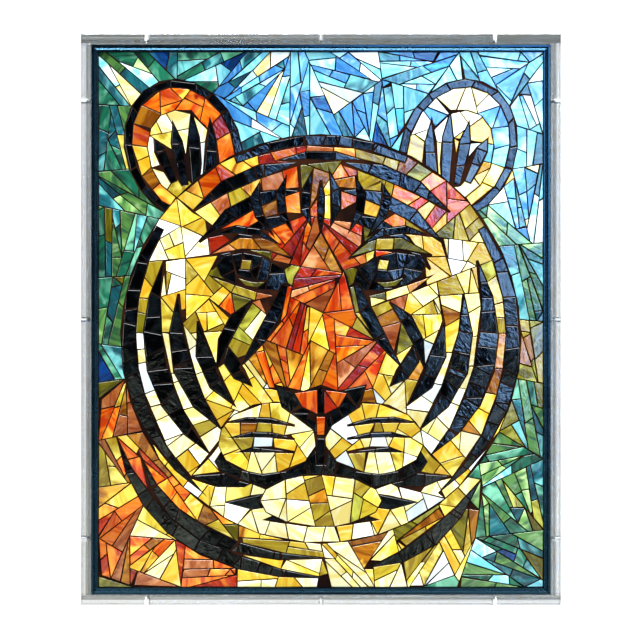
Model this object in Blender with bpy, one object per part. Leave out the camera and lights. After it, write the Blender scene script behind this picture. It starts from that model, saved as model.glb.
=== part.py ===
"""A wall panel: a tiger's face in cut stained glass, on a board, in a rim and clear acrylic walls.

Metres, +Z up. The back of the panel lies in the plane y = 0 and its front faces -Y. The picture
is drawn on a cartoon of CARTOON_WIDTH by CARTOON_HEIGHT units, which is scaled to the glass field.
"""

import math
import random

import bmesh
import bpy
from mathutils import Matrix, Vector
from mathutils.geometry import convex_hull_2d, delaunay_2d_cdt, intersect_line_line_2d

# Sizes of the panel, in metres
FIELD_WIDTH = 0.570
FIELD_HEIGHT = 0.686
CLEARANCE = 0.0003
BOARD_THICKNESS = 0.018
BED_THICKNESS = 0.0027
GLASS_PROUD = 0.0012
SHEET_STEP = 0.00005
JOINT_WIDTH = 0.0013
RIM_WIDTH = 0.009
RIM_PROUD = 0.004
RIM_STEP = 0.0012
ACRYLIC_THICKNESS = 0.012
ACRYLIC_DEPTH = 0.040
HEAD_DIAMETER = 0.0056
HEAD_HEIGHT = 0.0022
SHANK_DIAMETER = 0.0034
SHANK_LENGTH = 0.018
HOLE_CLEARANCE = 0.0007
COUNTERBORE_SHARE = 0.66
SCREW_INSET = 0.072
ROUND_SIDES = 8
SNAP = 1e-6

# What follows from them
BOARD_WIDTH = FIELD_WIDTH + 2 * RIM_WIDTH
BOARD_HEIGHT = FIELD_HEIGHT + 2 * RIM_WIDTH
BED_BACK = BOARD_THICKNESS + CLEARANCE
GROUT_LEVEL = BED_BACK + BED_THICKNESS
INNER_WIDTH = BOARD_WIDTH + 2 * CLEARANCE
INNER_HEIGHT = BOARD_HEIGHT + 2 * CLEARANCE
SCREW_DEPTH = BOARD_THICKNESS / 2
SEAT = CLEARANCE + ACRYLIC_THICKNESS * (1 - COUNTERBORE_SHARE)

# The sheets of glass, thinnest first: colour and roughness
SHEETS = {
    "black": ((0.012, 0.012, 0.014), 0.08),
    "rust": ((0.32, 0.045, 0.015), 0.10),
    "copper": ((0.42, 0.15, 0.05), 0.10),
    "orange": ((0.72, 0.20, 0.02), 0.10),
    "amber": ((0.62, 0.30, 0.05), 0.10),
    "gold": ((0.60, 0.42, 0.10), 0.12),
    "yellow": ((0.78, 0.66, 0.25), 0.12),
    "cream": ((0.90, 0.86, 0.66), 0.15),
    "white": ((0.90, 0.93, 0.92), 0.15),
    "olive": ((0.28, 0.27, 0.07), 0.10),
    "leaf": ((0.10, 0.30, 0.09), 0.10),
    "emerald": ((0.02, 0.24, 0.13), 0.10),
    "teal": ((0.03, 0.27, 0.29), 0.10),
    "deep_blue": ((0.03, 0.12, 0.36), 0.10),
    "sky_blue": ((0.22, 0.50, 0.80), 0.10),
    "pale_cyan": ((0.55, 0.80, 0.86), 0.12),
}
GROUT = "grout"
SHEET_NAMES = list(SHEETS)
GLASS_LEVEL = GROUT_LEVEL + GLASS_PROUD + SHEET_STEP * (len(SHEETS) - 1)
RIM_LEVEL = GLASS_LEVEL + RIM_PROUD

# The cartoon of the picture, in its own units, from its centre
CARTOON_WIDTH = 570.0
CARTOON_HEIGHT = 686.0
HEAD_LOW = -25.0
HEAD_HALF_WIDTH = 256.0
HEAD_HALF_HEIGHT = 262.0
STATION = 48.0
SMALLEST_PIECE = 110.0
SHARPEST = 0.4
OUTWARD_SLACK = 2.8
INWARD_SLACK = 0.7
SHORTEST_EDGE = 5.0
STRIPE_STEPS = 24
RECUT_SHARE = 0.7
CUT_PLACES = (0.40, 0.60)
CUT_LEAN = 0.35
CUT_SNAP = 0.4
NEAREST_PLACES = 1e-7
SEED = 7

# How far each kind of area is cut up: the largest and longest piece, and the least share of the
# string drawn tight round it that a piece fills
BACKDROP_CUTS = (5600, 125, 0.8)
GROUND_CUTS = (3000, 95, 0.74)
STRIPE_CUTS = (4200, 190, 0.3)


def share_of(palette, draw):
    """One sheet's name from a palette, a text of names in which a repeated name is likelier."""
    names = palette.split()
    return names[int(draw.random() * len(names))]


def on_head(angle, share):
    """The cartoon's point at this angle round the head, at this share of the way out."""
    turn = math.radians(angle)
    return (
        share * HEAD_HALF_WIDTH * math.cos(turn),
        HEAD_LOW + share * HEAD_HALF_HEIGHT * math.sin(turn),
    )


def oval(centre, half_width, half_height, count, lean=0.0, squareness=1.0):
    """An oval's corners, leaning by an angle; a squareness under 1 fills out its corners."""
    corners = []
    for index in range(count):
        turn = math.tau * index / count
        along = math.copysign(abs(math.cos(turn)) ** squareness, math.cos(turn)) * half_width
        up = math.copysign(abs(math.sin(turn)) ** squareness, math.sin(turn)) * half_height
        tilt = math.radians(lean)
        corners.append(
            (
                centre[0] + along * math.cos(tilt) - up * math.sin(tilt),
                centre[1] + along * math.sin(tilt) + up * math.cos(tilt),
            )
        )
    return corners


def almond(centre, half_length, top, bottom, count, lean):
    """An eye's outline: two shallow arcs that meet in points."""
    tilt = math.radians(lean)
    corners = []
    for index in range(2 * count):
        turn = math.pi * index / count
        along = half_length * math.cos(turn)
        up = (top if turn <= math.pi else bottom) * math.sin(turn)
        corners.append(
            (
                centre[0] + along * math.cos(tilt) - up * math.sin(tilt),
                centre[1] + along * math.sin(tilt) + up * math.cos(tilt),
            )
        )
    return corners


def tapered(place, first, last):
    """The share of its full width that a stripe has at this place, with its two ends' shares."""
    if place < 0.5:
        return first + (1 - first) * math.sin(math.pi * place)
    return last + (1 - last) * math.sin(math.pi * place)


def outlined(line, widths):
    """A stripe's outline, along one side of its line and back; a width of nothing ends it in a point."""
    left, right = [], []
    for index, point in enumerate(line):
        before = Vector(line[max(index - 1, 0)])
        after = Vector(line[min(index + 1, len(line) - 1)])
        across = (after - before).normalized().orthogonal() * widths[index] / 2
        left.append(tuple(Vector(point) + across))
        if across.length > 0.5:
            right.append(tuple(Vector(point) - across))
    return left + right[::-1]


def stripe(line_at, width, ends):
    """A stripe along a curve, which line_at gives for places from 0 to 1, as a list of one outline."""
    fine = [Vector(line_at(step / STRIPE_STEPS)) for step in range(STRIPE_STEPS + 1)]
    length = sum((b - a).length for a, b in zip(fine, fine[1:]))
    count = max(3, round(length / STATION))
    places = [index / count for index in range(count + 1)]
    widths = [width * tapered(place, *ends) for place in places]
    return [outlined([line_at(place) for place in places], widths)]


def head_stripe(angles, shares, width, ends=(0, 0)):
    """A stripe that follows the head's outline from one angle and share to another."""
    return stripe(
        lambda place: on_head(
            angles[0] + place * (angles[1] - angles[0]), shares[0] + place * (shares[1] - shares[0])
        ),
        width,
        ends,
    )


def bent_stripe(start, bend, end, width, ends=(0, 0)):
    """A stripe along a curve through two ends, drawn towards a bend."""
    return stripe(
        lambda place: (
            (1 - place) ** 2 * start[0] + 2 * place * (1 - place) * bend[0] + place**2 * end[0],
            (1 - place) ** 2 * start[1] + 2 * place * (1 - place) * bend[1] + place**2 * end[1],
        ),
        width,
        ends,
    )


def mirrored(pieces, side):
    """Pieces of the right half as they are, or turned over to the left half."""
    return [[(side * x, z) for x, z in piece] for piece in pieces]


def anticlockwise(corners):
    """The same outline, turned round where it runs clockwise."""
    turned = sum(a[0] * b[1] - b[0] * a[1] for a, b in zip(corners, corners[1:] + corners[:1]))
    return corners if turned > 0 else corners[::-1]


class Cartoon:
    """The picture's outlines, drawn one over another: grounds to be cut up, and single pieces."""

    def __init__(self):
        self.outlines = []
        self.palettes = []
        self.cuts = []

    def ground(self, palette, corners, cuts=GROUND_CUTS):
        """An area of the picture, cut up later; its palette may be a function of a place."""
        self.outlines.append(corners)
        self.palettes.append(palette)
        self.cuts.append(cuts)

    def pieces(self, palette, pieces):
        """Pieces of glass that are cut to these outlines, over whichever area they lie on."""
        for corners in pieces:
            self.ground(palette, corners, STRIPE_CUTS)

    def both_sides(self, palette, pieces):
        """The same pieces on the right and mirrored on the left."""
        for side in (1, -1):
            self.pieces(palette, mirrored(pieces, side))


def backdrop_palette(x, z):
    """Blue sky above, green leaves at the sides, with light between them."""
    if z > 195 and x > -110:
        return "sky_blue sky_blue pale_cyan pale_cyan white sky_blue"
    if x < 0 and z > 120:
        return "leaf emerald teal teal deep_blue olive gold cream leaf"
    if x < 0:
        return "leaf emerald emerald teal leaf olive"
    if z > 60:
        return "sky_blue pale_cyan teal pale_cyan leaf white"
    return "emerald teal leaf emerald leaf olive pale_cyan white"


def shoulder_palette(x, z):
    if x < -110:
        return "copper rust orange copper amber cream"
    if z < -290:
        return "yellow cream gold cream yellow"
    return "gold yellow cream gold olive"


def head_palette(x, z):
    angle, out = seen_from_head(x, z)
    if abs(angle - 90) < 50 and out > 0.5:
        return "orange rust amber amber gold gold"
    if abs(angle - 90) < 50:
        return "gold yellow gold amber yellow"
    if out > 0.86 and angle > -30:
        return "amber gold gold cream"
    if z > 20:
        return "cream yellow gold yellow cream"
    return "cream cream yellow white yellow"


def seen_from_head(x, z):
    """The angle and the share of the way out of a place, as on_head takes them, on the right half."""
    along, up = abs(x) / HEAD_HALF_WIDTH, (z - HEAD_LOW) / HEAD_HALF_HEIGHT
    return math.degrees(math.atan2(up, along)), math.hypot(along, up)


def draw_backdrop(cartoon):
    half_width, half_height = CARTOON_WIDTH / 2, CARTOON_HEIGHT / 2
    field = [(-half_width, -half_height), (half_width, -half_height)]
    field += [(half_width, half_height), (-half_width, half_height)]
    cartoon.ground(backdrop_palette, field, BACKDROP_CUTS)
    shoulders = oval((-55, -215), 262, 190, 22, squareness=0.85)
    low, left = -half_height, -half_width
    inside = [(max(x, left), max(z, low)) for x, z in shoulders]
    cartoon.ground(shoulder_palette, inside)
    for rank in range(2):
        start, bend = (-262 + 30 * rank, -150 - 22 * rank), (-215 + 24 * rank, -318 + 8 * rank)
        cartoon.pieces("black", bent_stripe(start, bend, (10, -332 + 26 * rank), 22 - 4 * rank))
    cartoon.pieces("black", bent_stripe((60, -318), (150, -300), (205, -205), 20))


def draw_ears(cartoon):
    for side in (1, -1):
        lean = -20 * side
        centre = (side * 176, 218)
        rim = "white cream white pale_cyan" if side > 0 else "orange orange amber"
        lining = "sky_blue white pale_cyan white" if side > 0 else "cream cream yellow amber"
        cartoon.ground("black", oval(centre, 74, 92, 20, lean))
        cartoon.ground(rim, oval(centre, 64, 82, 18, lean))
        inner = oval((centre[0], centre[1] - 8), 44, 60, 14, lean)
        cartoon.ground(lining, inner)
        for rank in range(4):
            foot = (side * (146 + 14 * rank), 164 + 4 * rank)
            tip = (side * (142 + 24 * rank), 246 + (12, 22, 8, -14)[rank])
            bend = (side * (138 + 22 * rank), 214)
            cartoon.pieces("black", bent_stripe(foot, bend, tip, 17, (0.5, 0)))


def draw_head(cartoon):
    corners = [on_head(360 * index / 40, 1) for index in range(40)]
    cartoon.ground(head_palette, corners)
    cartoon.pieces("black", head_stripe((64, 116), (0.975, 0.975), 13, (0.7, 0.7)))
    cartoon.both_sides("black", head_stripe((34, -52), (0.97, 0.955), 20, (0.5, 0)))
    for rank in range(3):
        share = 0.865 - 0.125 * rank
        angles = (83 - rank, 44 - 6 * rank)
        cartoon.both_sides("black", head_stripe(angles, (share, share + 0.03), 19, (0.2, 0.1)))
    cartoon.pieces("black", head_stripe((76, 104), (0.90, 0.90), 12))
    for rank in range(4):
        share = 0.84 - 0.125 * rank
        angles, shares = (26 - 9 * rank, -46 + 4 * rank), (share + 0.03, share - 0.05)
        cartoon.both_sides("black", head_stripe(angles, shares, 27 - 2 * rank, (0.1, 0)))
    for rank in range(3):
        angle = -62 - 13 * rank
        cartoon.both_sides("black", head_stripe((angle + 16, angle - 6), (0.93, 0.72 + 0.04 * rank), 20))
    for rank in range(3):
        foot = (12 + 24 * rank, 118 - 6 * rank)
        tip = (10 + 34 * rank, 192 - 8 * rank)
        cartoon.both_sides("black", bent_stripe(foot, (30 + 34 * rank, 150), tip, 13))
    cartoon.pieces("black", bent_stripe((0, 112), (0, 150), (0, 178), 11, (0.2, 0.2)))


def draw_eyes(cartoon):
    for side in (1, -1):
        centre = (side * 88, 58)
        brow = bent_stripe((36, 78), (80, 118), (142, 82), 17, (0.1, 0.1))
        cartoon.pieces("gold amber", mirrored(brow, side))
        cartoon.pieces("black", mirrored(bent_stripe((52, 96), (92, 128), (138, 108), 11), side))
        cartoon.pieces("cream white", mirrored(bent_stripe((58, 30), (96, 24), (142, 56), 13), side))
        cartoon.ground("black", almond(centre, 47, 27, 20, 5, 14 * side))
        crescent = bent_stripe((70, 50), (88, 36), (108, 56), 8, (0.3, 0.3))
        cartoon.pieces("olive", mirrored(crescent, side))
        cartoon.pieces("yellow", [oval((centre[0] - 8, centre[1] + 12), 9.5, 8.5, 4, 35)])
        cartoon.pieces("black", mirrored(bent_stripe((46, 44), (56, 0), (104, -62), 18, (0.4, 0)), side))
        cartoon.pieces("black", mirrored(bent_stripe((88, 22), (124, -2), (134, -66), 17, (0.1, 0)), side))


def draw_muzzle(cartoon):
    bridge = [(0, 112), (34, 54), (44, 6), (84, -42), (66, -88), (26, -98)]
    bridge += [(-x, z) for x, z in bridge[:0:-1]]
    cartoon.ground("black", oval((0, -182), 136, 38, 18))
    cartoon.ground("yellow cream gold yellow", oval((0, -232), 78, 34, 14))
    for side in (1, -1):
        cartoon.ground("yellow cream gold cream yellow", oval((66 * side, -152), 66, 46, 14, -8 * side))
    for rank in range(3):
        start, end = (34, -136 - 17 * rank), (122 - 8 * rank, -132 - 19 * rank)
        cartoon.both_sides("black", bent_stripe(start, (80, -122 - 20 * rank), end, 7, (0.3, 0)))
    cartoon.ground("rust orange copper rust orange amber", bridge)
    nose = [(0, -152), (-14, -136), (-50, -112), (-58, -84), (-22, -92), (0, -84)]
    nose += [(-x, z) for x, z in nose[-2:0:-1]]
    cartoon.ground("black", nose)
    cartoon.both_sides("orange rust", [[(4, -90), (34, -94), (24, -112), (4, -122)]])
    cartoon.pieces("orange amber", [[(-6, -124), (6, -124), (5, -148), (-5, -148)]])
    cartoon.pieces("black", bent_stripe((0, -152), (0, -166), (0, -186), 13, (0.8, 0.8)))


def drawn_cartoon():
    cartoon = Cartoon()
    draw_backdrop(cartoon)
    draw_ears(cartoon)
    draw_head(cartoon)
    draw_muzzle(cartoon)
    draw_eyes(cartoon)
    return cartoon


def overlaid(cartoon):
    """The cartoon as one flat mesh, with the topmost outline's number on each face."""
    places, outlines = [], []
    for corners in cartoon.outlines:
        outlines.append(range(len(places), len(places) + len(corners)))
        places.extend(Vector(corner) for corner in anticlockwise(corners))
    found = delaunay_2d_cdt(places, [], [list(outline) for outline in outlines], 4, 0.01)
    flat = bmesh.new()
    layer = flat.faces.layers.int.new("outline")
    flat.faces.layers.int.new("cutting")
    verts = [flat.verts.new((x, 0, z)) for x, z in found[0]]
    for corners, sources in zip(found[2], found[5]):
        face = flat.faces.new([verts[index] for index in corners])
        face[layer] = max(sources)
    return flat, layer


def holds(corners, x, z):
    """Whether a place lies inside an outline."""
    inside = False
    for (ax, az), (bx, bz) in zip(corners, corners[1:] + corners[:1]):
        if (az > z) != (bz > z) and x < ax + (z - az) * (bx - ax) / (bz - az):
            inside = not inside
    return inside


def topmost(outlines, sources, corners):
    """The last drawn of some outlines that really holds the middle of a face."""
    x = sum(corner[0] for corner in corners) / len(corners)
    z = sum(corner[1] for corner in corners) / len(corners)
    return max((source for source in sources if holds(outlines[source], x, z)), default=0)


def long_way(points):
    """The direction in which points spread most, with their reach along it."""
    middle = sum(points, Vector()) / len(points)
    xx = sum((p.x - middle.x) ** 2 for p in points)
    zz = sum((p.z - middle.z) ** 2 for p in points)
    xz = sum((p.x - middle.x) * (p.z - middle.z) for p in points)
    turn = 0.5 * math.atan2(2 * xz, xx - zz)
    along = Vector((math.cos(turn), 0, math.sin(turn)))
    return along, max(p.dot(along) for p in points) - min(p.dot(along) for p in points)


def joined_groups(faces):
    """Faces in groups that share edges."""
    left, groups = set(faces), []
    for first in faces:
        if first not in left:
            continue
        left.discard(first)
        group, reached = [], [first]
        while reached:
            face = reached.pop()
            group.append(face)
            near = {other for edge in face.edges for other in edge.link_faces} & left
            ordered = sorted(near, key=lambda other: tuple(other.calc_center_median()))
            left.difference_update(ordered)
            reached.extend(ordered)
        groups.append(group)
    return groups


def has_hole(faces):
    """Whether a group of faces rings something, or meets itself at a corner."""
    inside = set(faces)
    rim = [e for face in faces for e in face.edges if len(set(e.link_faces) & inside) == 1]
    if not rim:
        return True
    met = {}
    for edge in rim:
        for vert in edge.verts:
            met.setdefault(vert, []).append(edge)
    if any(len(edges) != 2 for edges in met.values()):
        return True
    seen, reached = set(), [rim[0].verts[0]]
    while reached:
        vert = reached.pop()
        if vert not in seen:
            seen.add(vert)
            reached.extend(edge.other_vert(vert) for edge in met[vert])
    return len(seen) < len(met)


def hull_area(points):
    """The area inside a string drawn tight round some places."""
    spots = [Vector((point.x, point.z)) for point in points]
    rim = [spots[index] for index in convex_hull_2d(spots)]
    return abs(sum(a.x * b.y - b.x * a.y for a, b in zip(rim, rim[1:] + rim[:1]))) / 2


def cut_up(flat, faces, largest, longest, fullest, draw):
    """Cuts a group of faces by straight lines until each group left is one piece of glass."""
    pieces, waiting = [], joined_groups(faces)
    while waiting:
        group = waiting.pop()
        points = [vert.co.copy() for face in group for vert in face.verts]
        along, length = long_way(points)
        area = sum(face.calc_area() for face in group)
        shaped = area > fullest * hull_area(points)
        small = area < largest and length < longest and shaped
        if small and not has_hole(group) or area < SMALLEST_PIECE / 2:
            pieces.append(group)
            continue
        low, high = min(p.dot(along) for p in points), max(p.dot(along) for p in points)
        wanted = low + (high - low) * draw.uniform(*CUT_PLACES)
        anchor = min(points, key=lambda p: abs(p.dot(along) - wanted))
        lean = draw.uniform(-CUT_LEAN, CUT_LEAN)
        normal = Vector((along.x - lean * along.z, 0, along.z + lean * along.x)).normalized()
        edges = list({edge for face in group for edge in face.edges})
        verts = list({vert for face in group for vert in face.verts})
        cutting = flat.faces.layers.int["cutting"]
        for face in group:
            face[cutting] = 1
        geometry = verts + edges + group
        bmesh.ops.bisect_plane(flat, geom=geometry, dist=CUT_SNAP, plane_co=anchor, plane_no=normal)
        halves = ([], [])
        for face in flat.faces:
            if face[cutting]:
                face[cutting] = 0
                halves[(face.calc_center_median() - anchor).dot(normal) > 0].append(face)
        if not halves[0] or not halves[1]:
            pieces.append(group)
            continue
        waiting.extend(part for half in halves for part in joined_groups(half))
    return pieces


def pieces_of_glass(cartoon, draw):
    """Every piece of glass, as its corners on the real panel and the name of its sheet."""
    flat, layer = overlaid(cartoon)
    by_outline = {}
    for face in flat.faces:
        by_outline.setdefault(face[layer], []).append(face)
    groups = []
    for outline in sorted(by_outline):
        cuts = cartoon.cuts[outline]
        groups += [(outline, group) for group in cut_up(flat, by_outline[outline], *cuts, draw)]
    glass = []
    while groups:
        outline, group = groups.pop()
        faces = group
        if len(group) > 1:
            faces = bmesh.ops.dissolve_faces(flat, faces=group)["region"] or group
        for face in faces:
            middle, area = face.calc_center_median(), face.calc_area()
            palette = cartoon.palettes[outline]
            colours = palette(middle.x, middle.z) if callable(palette) else palette
            outline_here = anticlockwise([(vert.co.x, vert.co.z) for vert in face.verts])
            corners = straightened([Vector((x, 0, z)) for x, z in outline_here])
            corners = shrunk([to_panel(corner, 0) for corner in corners], JOINT_WIDTH / 2)
            if corners and area > SMALLEST_PIECE:
                glass.append((corners, share_of(colours, draw)))
            elif area > 2 * SMALLEST_PIECE:
                parts = cut_up(flat, [face], area * RECUT_SHARE, area, GROUND_CUTS[2], draw)
                groups += [(outline, part) for part in parts if len(parts) > 1]
    flat.free()
    return glass


def straightened(corners):
    """A polygon without the corners at which it hardly turns, as glass is cut by straight lines."""
    kept = list(corners)
    while len(kept) > 3:
        slightest, chosen = 1.0, None
        for index, point in enumerate(kept):
            before, after = kept[index - 1], kept[(index + 1) % len(kept)]
            side, step, onward = after - before, point - before, after - point
            bulges = step.x * onward.z - step.z * onward.x > 0
            off = abs(step.x * side.z - step.z * side.x) / max(side.length, 1e-9)
            slack = OUTWARD_SLACK if bulges else INWARD_SLACK
            if bulges and min(step.length, onward.length) < SHORTEST_EDGE:
                slack = SHORTEST_EDGE
            if off / slack < slightest:
                slightest, chosen = off / slack, index
        if chosen is None:
            break
        kept.pop(chosen)
    return kept


def to_panel(point, level):
    """A place of the cartoon on the real panel, this far in front of the wall."""
    return Vector((point.x * FIELD_WIDTH / CARTOON_WIDTH, -level, point.z * FIELD_HEIGHT / CARTOON_HEIGHT))


def crosses_itself(corners):
    """Whether two sides of an outline meet that aren't neighbours."""
    spots = [Vector((corner.x, corner.z)) for corner in corners]
    sides = list(zip(spots, spots[1:] + spots[:1]))
    for first in range(len(sides)):
        for second in range(first + 2, len(sides) - (first == 0)):
            if intersect_line_line_2d(*sides[first], *sides[second]):
                return True
    return False


def shrunk(corners, distance):
    """A polygon moved in by a distance all round, or nothing where it is too thin for that."""
    trial = bmesh.new()
    face = trial.faces.new([trial.verts.new(corner) for corner in corners])
    trial.normal_update()
    ways = [(loop.link_loop_next.vert.co - loop.vert.co).normalized() for loop in face.loops]
    bmesh.ops.inset_individual(trial, faces=[face], thickness=distance, use_even_offset=True)
    inner = [loop.vert.co.copy() for loop in face.loops]
    trial.free()
    for index, way in enumerate(ways):
        step = inner[(index + 1) % len(inner)] - inner[index]
        if step.dot(way) < SHARPEST * JOINT_WIDTH:
            return []
    return [] if crosses_itself(inner) else inner


def make_mosaic():
    """The setting bed with every piece of glass in it: a flat sheet whose glass is raised from it."""
    draw = random.Random(SEED)
    wide, high = (FIELD_WIDTH - CLEARANCE) / 2, (FIELD_HEIGHT - CLEARANCE) / 2
    outlines = [[Vector((x, 0, z)) for x, z in ((-wide, -high), (wide, -high), (wide, high), (-wide, high))]]
    slots = [len(SHEETS)]
    for corners, sheet in pieces_of_glass(drawn_cartoon(), draw):
        outlines.append(corners)
        slots.append(SHEET_NAMES.index(sheet))
    places = [Vector((corner.x, corner.z)) for corners in outlines for corner in corners]
    numbered, start = [], 0
    for corners in outlines:
        numbered.append(list(range(start, start + len(corners))))
        start += len(corners)
    found = delaunay_2d_cdt(places, [], numbered, 1, NEAREST_PLACES)
    slab = bmesh.new()
    verts = [slab.verts.new((x, -GROUT_LEVEL, z)) for x, z in found[0]]
    pieces = {}
    flat_outlines = [[(corner.x, corner.z) for corner in corners] for corners in outlines]
    for corners, sources in zip(found[2], found[5]):
        face = slab.faces.new([verts[index] for index in corners])
        number = topmost(flat_outlines, sources, [found[0][index] for index in corners])
        face.material_index = slots[number]
        pieces.setdefault(number, []).append(face)
    give_bed_its_back(slab)
    for number, faces in sorted(pieces.items()):
        if number:
            raised = bmesh.ops.extrude_face_region(slab, geom=faces)["geom"]
            moved = [item for item in raised if isinstance(item, bmesh.types.BMVert)]
            rise = GLASS_PROUD + SHEET_STEP * slots[number]
            bmesh.ops.translate(slab, verts=moved, vec=(0, -rise, 0))
            bmesh.ops.delete(slab, geom=[f for f in faces if f.is_valid], context="FACES_ONLY")
    materials = [glass_material(sheet) for sheet in SHEET_NAMES] + [grout_material()]
    mesh_object("mosaic", slab, materials)


def give_bed_its_back(bed):
    """Closes a flat sheet to a slab: four edges from its border down to its back, and the back."""
    border = [edge for edge in bed.edges if edge.is_boundary]
    walls = bmesh.ops.extrude_edge_only(bed, edges=border)["geom"]
    lowered = [item for item in walls if isinstance(item, bmesh.types.BMVert)]
    bmesh.ops.translate(bed, verts=lowered, vec=(0, BED_THICKNESS, 0))
    back = [item for item in walls if isinstance(item, bmesh.types.BMEdge) and item.is_boundary]
    made = bmesh.ops.contextual_create(bed, geom=back)["faces"]
    for face in made + [item for item in walls if isinstance(item, bmesh.types.BMFace)]:
        face.material_index = len(SHEETS)
    bmesh.ops.recalc_face_normals(bed, faces=bed.faces)


def plain_material(name, colour, roughness, metallic=0.0):
    """A Principled material, made once for each name."""
    material = bpy.data.materials.get(name)
    if material:
        return material
    material = bpy.data.materials.new(name)
    material.use_nodes = True
    shader = material.node_tree.nodes["Principled BSDF"]
    shader.inputs["Base Color"].default_value = (*colour, 1)
    shader.inputs["Roughness"].default_value = roughness
    shader.inputs["Metallic"].default_value = metallic
    material.diffuse_color = (*colour, 1)
    return material


def glass_material(sheet):
    colour, roughness = SHEETS[sheet]
    return plain_material("glass " + sheet, colour, roughness)


def grout_material():
    return plain_material(GROUT, (0.05, 0.03, 0.02), 0.9)


def acrylic_material():
    material = plain_material("clear acrylic", (0.95, 0.96, 0.96), 0.05)
    shader = material.node_tree.nodes["Principled BSDF"]
    shader.inputs["Transmission Weight"].default_value = 1.0
    shader.inputs["IOR"].default_value = 1.49
    return material


def mesh_object(name, shape, materials):
    """An object in the scene from a bmesh, which is freed."""
    mesh = bpy.data.meshes.new(name)
    shape.to_mesh(mesh)
    shape.free()
    for material in materials:
        mesh.materials.append(material)
    made = bpy.data.objects.new(name, mesh)
    bpy.context.scene.collection.objects.link(made)
    return made


def block(low, high):
    """A box between two corners."""
    shape = bmesh.new()
    bmesh.ops.create_cube(shape, size=1)
    size = Vector(high) - Vector(low)
    bmesh.ops.scale(shape, vec=size, verts=shape.verts)
    bmesh.ops.translate(shape, vec=(Vector(high) + Vector(low)) / 2, verts=shape.verts)
    return shape


def stepped_rod(shape, foot, way, sections):
    """Adds a closed rod that runs from its foot in a direction, with a diameter at each place along it."""
    rod = bmesh.new()
    section = [rod.verts.new((diameter / 2, 0, place)) for place, diameter in sections]
    section.insert(0, rod.verts.new((0, 0, sections[0][0])))
    section.append(rod.verts.new((0, 0, sections[-1][0])))
    edges = [rod.edges.new(pair) for pair in zip(section, section[1:])]
    turned = {"cent": (0, 0, 0), "axis": (0, 0, 1), "angle": math.tau, "steps": ROUND_SIDES, "use_merge": True}
    bmesh.ops.spin(rod, geom=section + edges, **turned)
    bmesh.ops.remove_doubles(rod, verts=rod.verts, dist=SNAP)
    poles = [vert for vert in rod.verts if math.hypot(vert.co.x, vert.co.y) < SNAP]
    bmesh.ops.dissolve_verts(rod, verts=poles)
    turn = Vector((0, 0, 1)).rotation_difference(way).to_matrix().to_4x4()
    bmesh.ops.transform(rod, verts=rod.verts, matrix=Matrix.Translation(foot) @ turn)
    bmesh.ops.recalc_face_normals(rod, faces=rod.faces)
    if rod.calc_volume(signed=True) < 0:
        bmesh.ops.reverse_faces(rod, faces=rod.faces)
    joined = bpy.data.meshes.new("rod")
    rod.to_mesh(joined)
    rod.free()
    shape.from_mesh(joined)
    bpy.data.meshes.remove(joined)


def screw_places():
    """Each screw's name, the point of its axis on the board's edge, and its direction inwards."""
    across, up = BOARD_WIDTH / 2, BOARD_HEIGHT / 2
    for wall, way in (("top", (0, 0, -1)), ("bottom", (0, 0, 1)), ("left", (1, 0, 0)), ("right", (-1, 0, 0))):
        way = Vector(way)
        for number, step in enumerate((-1, 0, 1), 1):
            side = Vector((-way.z, 0, way.x))
            half = across if way.z else up
            place = -way * (up if way.z else across) + side * step * (half - SCREW_INSET)
            yield wall, f"screw_{wall}_{number}", Vector((place.x, -SCREW_DEPTH, place.z)), way


def cut_away(target, cutter_shape, name):
    """Cuts a shape out of an object, by a modifier that stays on it."""
    cutter = mesh_object(name, cutter_shape, [])
    cutter.hide_render = True
    cutter.display_type = "WIRE"
    cut = target.modifiers.new("Holes", "BOOLEAN")
    cut.operation = "DIFFERENCE"
    cut.object = cutter


def make_board():
    half_width, half_height = BOARD_WIDTH / 2, BOARD_HEIGHT / 2
    shape = block((-half_width, -BOARD_THICKNESS, -half_height), (half_width, 0, half_height))
    board = mesh_object("backing_board", shape, [plain_material("board", (0.03, 0.028, 0.026), 0.7)])
    holes = bmesh.new()
    for _, _, place, way in screw_places():
        bore = SHANK_DIAMETER + HOLE_CLEARANCE
        sections = [(-HOLE_CLEARANCE, bore), (SHANK_LENGTH, bore)]
        stepped_rod(holes, place, way, sections)
    cut_away(board, holes, "pilot_holes")


def make_acrylic():
    """Four clear walls: the top and bottom ones run right across, the upright ones between them."""
    wide, high, thick = INNER_WIDTH / 2, INNER_HEIGHT / 2, ACRYLIC_THICKNESS
    front, lip = -ACRYLIC_DEPTH, wide + thick
    boxes = {
        "top": ((-lip, front, high), (lip, 0, high + thick)),
        "bottom": ((-lip, front, -high - thick), (lip, 0, -high)),
        "left": ((-lip, front, -high + CLEARANCE), (-wide, 0, high - CLEARANCE)),
        "right": ((wide, front, -high + CLEARANCE), (lip, 0, high - CLEARANCE)),
    }
    for wall, (low, high_corner) in boxes.items():
        made = mesh_object("acrylic_wall_" + wall, block(low, high_corner), [acrylic_material()])
        holes = bmesh.new()
        for screw_wall, _, place, way in screw_places():
            if screw_wall != wall:
                continue
            bore, counterbore = SHANK_DIAMETER + HOLE_CLEARANCE, HEAD_DIAMETER + HOLE_CLEARANCE
            outside = ACRYLIC_THICKNESS + 2 * CLEARANCE
            sections = [(-CLEARANCE, bore), (SEAT, bore), (SEAT, counterbore), (outside, counterbore)]
            stepped_rod(holes, place, -way, sections)
        cut_away(made, holes, f"screw_holes_{wall}")


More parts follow.
